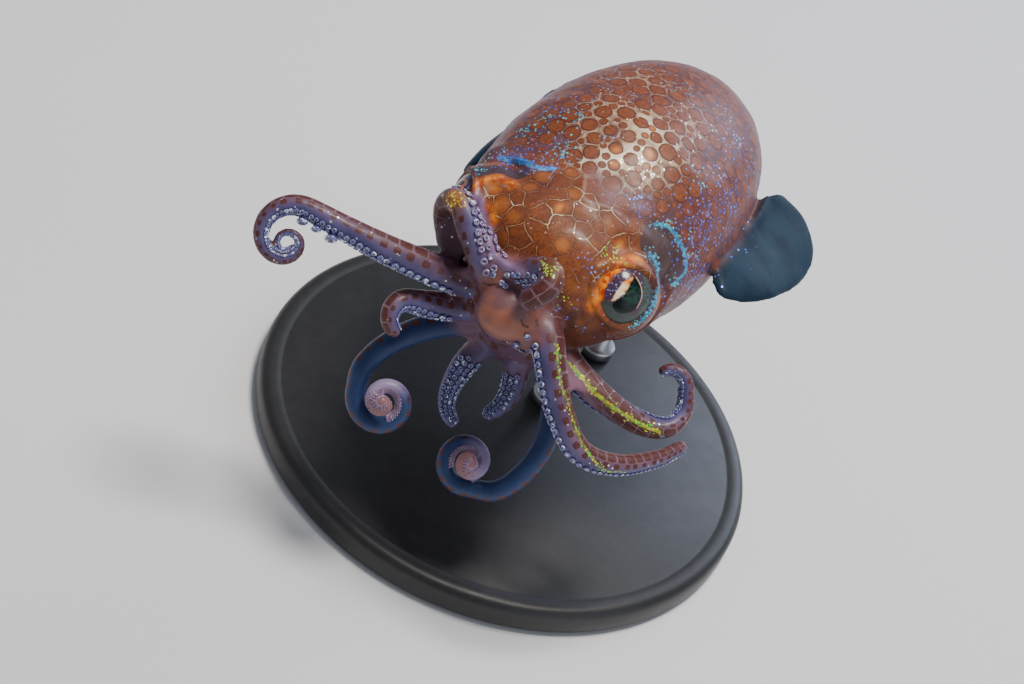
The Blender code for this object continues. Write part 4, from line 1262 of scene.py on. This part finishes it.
    # Solid cores of the light-catching lines, then specks: mask, cover, colours, share on spots
    grain, grain_colour = look.cells(at, 4.8)
    chance, hue, size = look.parts(grain_colour)
    dot = 1 - look.step(grain, 0.26 + size * 0.20, 0.36 + size * 0.24)
    patchy = look.math("ADD", 0.45, look.step(fine, 0.42, 0.58), clamp=True)
    for line, low, high in ((cyan_line, (0.01, 0.20, 0.60), (0.05, 0.55, 0.75)),
                            (blue_line, (0.02, 0.13, 0.62), (0.06, 0.42, 0.85)),
                            (green_line, (0.05, 0.40, 0.03), (0.62, 0.48, 0.02))):
        core = look.step(line, 0.35, 0.75) * patchy
        colour = look.mix(core * 0.85, colour, look.mix(hue, low, high))
    sparkle = 0.0
    for mask, cover, low, high, on_spots in (
            (gold, 0.40, (1.0, 0.62, 0.16), (1.0, 0.92, 0.62), 0.12),
            (gold * arm, 0.98, (0.95, 0.42, 0.02), (1.0, 0.86, 0.14), 1.0),
            # white specks: painted glints
            (white, 0.32, (0.75, 0.80, 0.95), (1.0, 0.96, 0.85), 0.15),
            (cyan, 0.95, (0.01, 0.38, 0.90), (0.16, 0.95, 0.72), 0.7),
            (blue, 0.80, (0.04, 0.14, 0.85), (0.26, 0.34, 1.0), 0.6),
            (green, 0.90, (0.06, 0.80, 0.06), (0.95, 0.82, 0.02), 0.9),
            (body, 0.05, (0.65, 0.26, 0.06), (0.30, 0.38, 0.80), 0.4),
            # sparse pale specks on the arms: painted glints
            (arm, 0.03, (0.35, 0.38, 0.80), (0.80, 0.70, 0.60), 0.6)):
        wanted = mask * cover * look.blend(outside, on_spots, 1.0)
        hit = look.step(wanted - chance, 0.0, 0.01) * dot
        colour = look.mix(hit, colour, look.mix(hue, low, high))
        sparkle = look.most(sparkle, hit)

    # Gloss and relief
    height = (inside * body * 0.45 + fine * 0.30 + look.noise(at, 9.0, 2.0) * 0.15
              - seam * head * 0.35)
    gloss = 1 - look.most(fin * 0.8, dark)
    look.set(Base_Color=colour, Roughness=look.blend(sparkle, look.blend(fine, 0.40, 0.58), 0.22),
             Normal=look.bump(height, 0.00006, 0.8), Metallic=sparkle * 0.3,
             Specular_IOR_Level=gloss * 0.35, Subsurface_Weight=0.10,
             Subsurface_Radius=(1.0, 0.4, 0.3), Subsurface_Scale=0.0005, Coat_Weight=gloss * 0.10,
             Coat_Roughness=0.18, Sheen_Weight=gloss * (1 - collar * 0.7) * 0.10,
             Sheen_Roughness=0.35, Sheen_Tint=(0.45, 0.42, 1.0, 1.0))
    return look.material


def cup_look():
    """Suckers with a bluish or lilac wall, a paler ring, a dark pit and painted wet glints."""
    look = Look("sucker_skin")
    at = look.place()
    level, lilac, club = look.masks("cup")
    soft = look.noise(at, 2.5, 3.0)
    side = look.mix(lilac, look.tones("cup_side", soft), look.tones("cup_side_lilac", soft))
    ring = look.mix(lilac, look.tones("cup_ring", look.noise(at, 3.0, 2.0)),
                    look.tones("cup_ring_lilac", look.noise(at, 1.2, 2.0)))
    colour = look.mix(look.step(level, 0.5, 0.9), side, ring)
    colour = look.mix(look.step(level, 1.1, 1.6), colour,
                      look.tones("cup_pit", look.noise(at, 4.0, 2.0)))
    # Painted highlight: pale glints on the ring and the pit, faint on the clubs' cups
    glint = look.step(look.noise(at, 2.4, 2.0), 0.58, 0.64)
    glint = glint * look.blend(club, look.step(level, 0.3, 0.9), 0.12)
    colour = look.mix(glint, colour, TINTS["glint"])
    look.set(Base_Color=colour, Roughness=look.blend(look.noise(at, 3.0), 0.14, 0.30),
             Normal=look.bump(look.noise(at, 8.0, 3.0), 0.00003, 0.6),
             Subsurface_Weight=0.15, Subsurface_Radius=(0.6, 0.5, 0.9), Subsurface_Scale=0.0004,
             Coat_Weight=0.6, Coat_Roughness=0.06)
    return look.material


# Outlines of the cups from the foot up, in radii: height, radius, level that the material reads
SUCKER = ((-0.72, 0.66, 0.0), (0.04, 0.64, 0.0), (0.24, 0.88, 0.3), (0.48, 1.0, 0.7),
          (0.704, 0.94, 0.9), (0.848, 0.74, 1.0), (0.816, 0.52, 1.2), (0.64, 0.38, 2.0))
SUCKER_PIT = 0.45
CLUB_CUP = ((-0.6, 0.8, 0.3), (0.5, 1.0, 0.9), (0.8, 0.6, 1.0))
CLUB_CUP_SIZE = 0.085

# The larger cups that hang from arm right 2: pixel of the foot, and size in mm
LARGE_CUPS = [((303, 219), 0.50), ((317, 226), 0.44), ((332, 234), 0.56)]


class Cups:
    """Cups that are joined into one mesh."""

    def __init__(self):
        self.points, self.faces, self.levels = [], [], []

    def add(self, foot, rise, ahead, size, outline, sides, marks, pit=None):
        """One cup that stands on the skin, its top closed flat or drawn down to a pit."""
        across = unit(np.cross(rise, ahead))
        beside = np.cross(across, rise)
        start = len(self.points)
        for height, share, level in outline:
            for a in angles(sides):
                self.points.append(foot + size * (rise * height
                                                  + share * (cos(a) * across + sin(a) * beside)))
                self.levels.append((level, *marks))
        last = start + (len(outline) - 1) * sides
        for k in range(start, last, sides):
            for j in range(sides):
                a, b = k + j, k + (j + 1) % sides
                self.faces.append((a, b, b + sides, a + sides))
        if pit is None:
            self.faces.append(tuple(range(last, last + sides)))
        else:
            self.faces += [(last + j, last + (j + 1) % sides, len(self.points))
                           for j in range(sides)]
            self.points.append(foot + rise * size * pit)
            self.levels.append((2.0, *marks))
        self.faces.append(tuple(reversed(range(start, start + sides))))

    def build(self, name, look):
        mesh = make_mesh(name, self.points, self.faces)
        store(mesh, "cup", self.levels)
        make_piece(name, mesh, look)


def build_suckers(look, skin_tree):
    """Four rows of cups on each arm, out to the tip, joined into one mesh for each side."""
    for word in ("right", "left"):
        cups = Cups()
        for name, limb in limbs.items():
            if not name.startswith("arm_" + word):
                continue
            lilac = 0.8 if name == "arm_right_1" else 0.1
            for row, turn in enumerate((-0.78, -0.27, 0.27, 0.78)):
                s = 2.6 + (row % 2) * 0.35
                share = 0.21 if row in (1, 2) else 0.235
                while s < limb.length - 0.12:
                    middle, ahead, facing, aside = limb.frame(s)
                    size = max(0.13, limb.radius(s) * share) * dice.uniform(0.86, 1.12)
                    out = unit(cos(turn) * facing + sin(turn) * aside)
                    foot, normal, _, _ = skin_tree.ray_cast(Vector(middle + out * 0.2),
                                                            Vector(out), 2.6)
                    if foot is not None:
                        rise = unit(0.75 * np.array(normal) + 0.25 * out)
                        cups.add(np.array(foot), rise, ahead, size, SUCKER, 12, (lilac, 0.0),
                                 SUCKER_PIT)
                    s += size * 2.3
        for (px, py), size in LARGE_CUPS if word == "right" else ():
            for up in range(8):
                foot, normal, _, _ = skin_tree.ray_cast(Vector(EYEPOINT),
                                                        Vector(sight(px, py - up)), 4 * FAR)
                if foot is not None:
                    rise = unit(0.3 * np.array(normal) + 0.35 * BACK - 0.8 * UP)
                    cups.add(np.array(foot) + rise * 0.25, rise, RIGHT, size, SUCKER, 12,
                             (0.0, 0.0), SUCKER_PIT)
                    break
        cups.build("suckers_" + word, look)


def build_club_cups(look, skin_tree):
    """Very small cups crowded on the inner face of each tentacle's club."""
    cups = Cups()
    for name, limb in limbs.items():
        if not name.startswith("tentacle"):
            continue
        s = limb.length * 0.66
        odd = 0
        while s < limb.length - 0.1:
            middle, ahead, facing, aside = limb.frame(s)
            for turn in np.arange(-1.25, 1.26, 0.25) + odd * 0.125:
                out = unit(cos(turn) * facing + sin(turn) * aside)
                foot = skin_tree.ray_cast(Vector(middle + out * 0.1), Vector(out), 1.8)[0]
                if foot is not None:
                    cups.add(np.array(foot), out, ahead, CLUB_CUP_SIZE, CLUB_CUP, 6, (1.0, 1.0))
            s += 0.16
            odd = 1 - odd
    cups.build("club_cups", look)


# Marks on the eyeball, as pixels of the photograph
PUPIL = [(636, 278), (640, 285), (641, 294), (639, 303), (634, 310), (627, 313), (619, 313), (613, 308),
         (613, 303), (620, 299), (625, 294), (629, 287), (632, 281)]
FLAP = [(634, 275), (631, 279), (627, 284), (623, 289), (619, 294), (615, 298), (611, 301)]
GLOW = [(636, 261), (624, 265), (614, 271), (607, 279), (602, 288), (600, 298)]
PUPIL_RIM = [(636, 277), (640, 284), (642, 292), (641, 300), (637, 308)]


def on_ball(pixel, centre, radius):
    """Where the line of sight through a pixel meets a ball."""
    way = sight(*pixel)
    off = EYEPOINT - centre
    b = off @ way
    depth = b * b - (off @ off - radius * radius)
    return EYEPOINT + way * (-b - sqrt(max(depth, 0.0)))


def line_distance(points, line):
    """Distance from each point to a line of points."""
    best = np.full(len(points), 1e9)
    for a, b in zip(line[:-1], line[1:]):
        ab = b - a
        t = np.clip(((points - a) @ ab) / (ab @ ab), 0, 1)
        best = np.minimum(best, np.linalg.norm(points - a - t[:, None] * ab, axis=1))
    return best


def build_eyes(look):
    """Both eyeballs. The right one has the left one's marks, turned over."""
    centre = np.array(EYE_AT)
    axis, up, across = eye_frame(1)

    def flat(points):
        off = np.asarray(points) - centre
        return np.stack([off @ across, off @ up], axis=1)

    def marked(pixels, smooth):
        return flat(smooth([on_ball(p, centre, EYEBALL) for p in pixels]))

    around, along = 160, 110
    rings = []
    for i in range(1, along):
        lat = pi * (i / along) ** 1.25
        rings.append([centre + EYEBALL * (cos(lat) * axis + sin(lat) * (cos(a) * across
                      + sin(a) * up)) for a in angles(around)])
    points, faces = loft(rings, centre + EYEBALL * axis, centre - EYEBALL * axis)
    points = np.array(points)
    local = flat(points)
    outline = marked(PUPIL, smooth_loop)
    pupil = line_distance(local, np.concatenate([outline, outline[:1]]))
    pupil *= np.where(inside_loop(local, outline), -1, 1)
    fold = marked(FLAP, smooth_line)
    flap = line_distance(local, fold)
    share = np.sqrt(((local[:, None] - fold[None]) ** 2).sum(2)).argmin(1) / len(fold)
    rim = line_distance(local, marked(PUPIL_RIM, smooth_line))
    glow = line_distance(local, marked(GLOW, smooth_line))
    off = points - centre
    own = np.stack([off @ axis, off @ up, off @ across], 1)
    behind = own[:, 0] <= 0
    pupil[behind], flap[behind], rim[behind] = 3.0, 3.0, 3.0
    for side, word in ((1, "left"), (-1, "right")):
        shown = own @ np.array(eye_frame(side)) + (side * EYE_AT[0], EYE_AT[1], EYE_AT[2])
        ordered = faces if side > 0 else [tuple(reversed(f)) for f in faces]
        mesh = make_mesh("eyeball_" + word, shown, ordered)
        store(mesh, "eye_marks", np.stack([pupil, flap, rim], 1))
        store(mesh, "eye_place", np.stack([local[:, 0], local[:, 1], glow], 1))
        store(mesh, "eye_share", np.stack([share, share, share], 1))
        make_piece("eyeball_" + word, mesh, look, ["eye_" + word])


def smooth_loop(points):
    """A closed smooth line through the points."""
    points = [np.asarray(p) for p in points]
    line = smooth_line(points[-2:] + points + points[:2], 0.1)
    start = min(range(len(line) // 2), key=lambda i: np.linalg.norm(line[i] - points[0]))
    end = max(range(len(line) // 2, len(line)), key=lambda i: -np.linalg.norm(line[i] - points[0]))
    return np.array(line[start:end])


def inside_loop(points, loop):
    """Which points of a plane lie inside a closed line."""
    inside = np.zeros(len(points), bool)
    x, y = points[:, 0], points[:, 1]
    for (x1, y1), (x2, y2) in zip(loop, np.roll(loop, -1, axis=0)):
        crosses = (y1 > y) != (y2 > y)
        at = (x2 - x1) * (y - y1) / (y2 - y1 + 1e-12) + x1
        inside ^= crosses & (x < at)
    return inside


def eye_look():
    """An iris with a glowing band, a pale flap over the pupil and a painted green sheen in it."""
    look = Look("eye")
    at = look.place()
    pupil, flap, rim = look.masks("eye_marks")
    a, b, glow = look.masks("eye_place")
    share, _, _ = look.masks("eye_share")
    fine = look.noise(at, 4.0, 4.0)
    low = look.most(look.step(a * 0.35 + b, -0.8, -1.6), look.step(a, 0.9, 1.4))
    iris = look.mix(low, look.tones("iris", fine), look.tones("iris_low", fine))
    grain, grain_colour = look.cells(at, 5.5)
    luck, hue, _ = look.parts(grain_colour)
    speck = look.step(luck, 0.60, 0.64) * (1 - look.step(grain, 0.3, 0.5))
    upper = look.math("SUBTRACT", look.step(b, -0.9, -0.3), low * 0.8, clamp=True)
    iris = look.mix(speck * upper, iris, look.tones("iris_speck", hue))
    uneven = (look.noise(at, 2.6, 3.0) - 0.5) * 0.45

    def band(distance, low, high):
        return 1 - look.step(distance + uneven, low, high)

    warm = look.step(look.noise(at, 2.2, 3.0), 0.38, 0.6)
    hot = look.tones("eye_glow", warm)
    iris = look.mix(band(glow, 0.16, 0.34), iris, hot)
    wide = look.step(share, 0.0, 0.35) * look.step(share, 1.05, 0.65)
    flap_on = band(flap, wide * 0.22, 0.04 + wide * 0.30)
    bright = look.step(share, 0.25, 0.5) * look.step(share, 0.98, 0.80)
    colour = look.mix(flap_on, iris, look.mix(bright, hot, look.tones("eye_flap", warm)))
    # Painted green sheen in the upper part of the pupil
    green = look.step(look.noise(at, 2.4, 3.0), 0.42, 0.62) * look.step(b, -1.3, 0.1)
    colour = look.mix(1 - look.step(pupil, -0.04, 0.04), colour, look.tones("pupil", green))
    colour = look.mix((1 - look.step(rim, 0.03, 0.08)) * 0.75, colour, TINTS["pupil_rim"])
    look.set(Base_Color=colour, Roughness=look.blend(fine, 0.14, 0.26),
             Normal=look.bump(flap_on + fine * 0.2, 0.00008, 0.7), Coat_Weight=0.3,
             Coat_Roughness=0.03, Specular_IOR_Level=0.25)
    return look.material


def build_stand(skin_tree):
    """A dark base with a raised rim, and two steel rods that end just inside the skin."""
    base = Look("stand_base")
    at = base.place()
    grain = base.noise(at, 1.2, 5.0)
    base.set(Base_Color=base.mix(grain, (0.010, 0.010, 0.011), (0.024, 0.024, 0.026)),
             Roughness=base.blend(base.noise(at, 0.4, 3.0), 0.34, 0.50),
             Normal=base.bump(base.noise(at, 6.0, 3.0), 0.00002, 0.5))
    outline = [(0.0, 23.1), (0.15, 23.55), (0.5, 23.9), (0.8, 24.0), (2.2, 24.0), (2.6, 23.86),
               (2.9, 23.5), (3.0, 23.1), (3.0, 22.4), (2.93, 22.2), (2.93, 22.0), (3.0, 21.8)]
    rings = [[(r * cos(a), r * sin(a), z) - SQUID_AT for a in angles(160)] for z, r in outline]
    points, faces = loft(rings, np.array((0, 0, 0)) - SQUID_AT,
                         np.array((0, 0, BASE_THICK)) - SQUID_AT)
    make_piece("base", make_mesh("base", points, faces), base.material,
               ["stand_base"])
    steel = Look("stand_rod")
    at = steel.place()
    drawn = steel.noise(steel.vector("MULTIPLY", at, (6.0, 6.0, 0.35)), 3.0, 4.0)
    steel.set(Base_Color=steel.mix(drawn, (0.42, 0.42, 0.44), (0.62, 0.62, 0.63)), Metallic=1.0,
              Roughness=steel.blend(drawn, 0.22, 0.42), Normal=steel.bump(drawn, 0.00002, 0.5))
    for word, (x, y) in RODS.items():
        low = BASE_THICK - SQUID_AT[2]
        high = skin_tree.ray_cast(Vector((x, y, low)), Vector((0, 0, 1)))[0][2]
        outline = [(low, 1.7), (low + 0.25, 1.75), (low + 0.9, 1.75), (low + 1.15, 1.6), (low + 1.2, 1.0),
                   (low + 6.0, 1.0), (low + 12.0, 1.0), (high - 1.5, 1.0), (high + 0.5, 1.0)]
        rings = [[(x + r * cos(a), y + r * sin(a), z) for a in angles(40)] for z, r in outline]
        points, faces = loft(rings, None, (x, y, high + 0.5))
        make_piece("rod_" + word, make_mesh("rod_" + word, points, faces), steel.material,
                   ["stand_rod_" + word])


# Pixel of the photograph where the mantle mirrors the key light
GLOW_PIXEL = (642, 158)


def build_stage(tree):
    """A pale floor, soft lights and the camera.

    The key light stands where the mantle mirrors it at the place of the photograph's own glow.
    """
    way = sight(*GLOW_PIXEL)
    normal = np.array(tree.ray_cast(Vector(EYEPOINT), Vector(way))[1])
    mirrored = unit(way - 2 * (way @ normal) * normal)
    floor = Look("floor")
    at = floor.place()
    floor.set(Base_Color=floor.mix(floor.noise(at, 0.02, 2.0), (0.80, 0.80, 0.81),
                                   (0.84, 0.84, 0.85)), Roughness=0.75)
    mesh = bpy.data.meshes.new("floor")
    mesh.from_pydata([(-1.5, -1.5, 0), (1.5, -1.5, 0), (1.5, 1.5, 0), (-1.5, 1.5, 0)], [],
                     [(0, 1, 2, 3)])
    mesh.materials.append(floor.material)
    ground = bpy.data.objects.new("floor", mesh)
    bpy.context.scene.collection.objects.link(ground)
    world = bpy.data.worlds.new("studio")
    world.use_nodes = True
    sky = world.node_tree.nodes["Background"]
    sky.inputs["Color"].default_value = (0.80, 0.85, 0.95, 1.0)
    sky.inputs["Strength"].default_value = 0.32
    bpy.context.scene.world = world
    aim = SQUID_AT * MM + np.array((0.0, -0.012, 0.0))
    for name, place, power, size, colour in (
            ("key", mirrored * 0.33, 1.25, 0.10, (1.0, 0.95, 0.88)),
            ("fill", (0.30, -0.10, 0.10), 0.20, 0.34, (0.85, 0.90, 1.0)),
            ("back", (0.06, 0.28, 0.12), 0.45, 0.20, (0.70, 0.78, 1.0))):
        light = bpy.data.lights.new(name, "AREA")
        light.shape = "DISK"
        light.energy = power
        light.size = size
        light.color = colour
        lamp = bpy.data.objects.new(name, light)
        lamp.location = aim + np.array(place)
        lamp.rotation_euler = Vector(-np.array(place)).to_track_quat("-Z", "Y").to_euler()
        bpy.context.scene.collection.objects.link(lamp)
    view = bpy.data.cameras.new("camera")
    view.sensor_width = 36.0
    view.lens = view.sensor_width / 2 / tan(HALF_FIELD)
    view.clip_start = 0.001
    camera = bpy.data.objects.new("camera", view)
    place = (EYEPOINT + SQUID_AT) * MM
    camera.matrix_world = Matrix([*zip(RIGHT, UP, BACK, place), (0, 0, 0, 1)])
    bpy.context.scene.collection.objects.link(camera)
    bpy.context.scene.camera = camera


skin_tree = build_skin(skin_look())
sucker_skin = cup_look()
build_suckers(sucker_skin, skin_tree)
build_club_cups(sucker_skin, skin_tree)
build_eyes(eye_look())
build_stand(skin_tree)
build_stage(skin_tree)
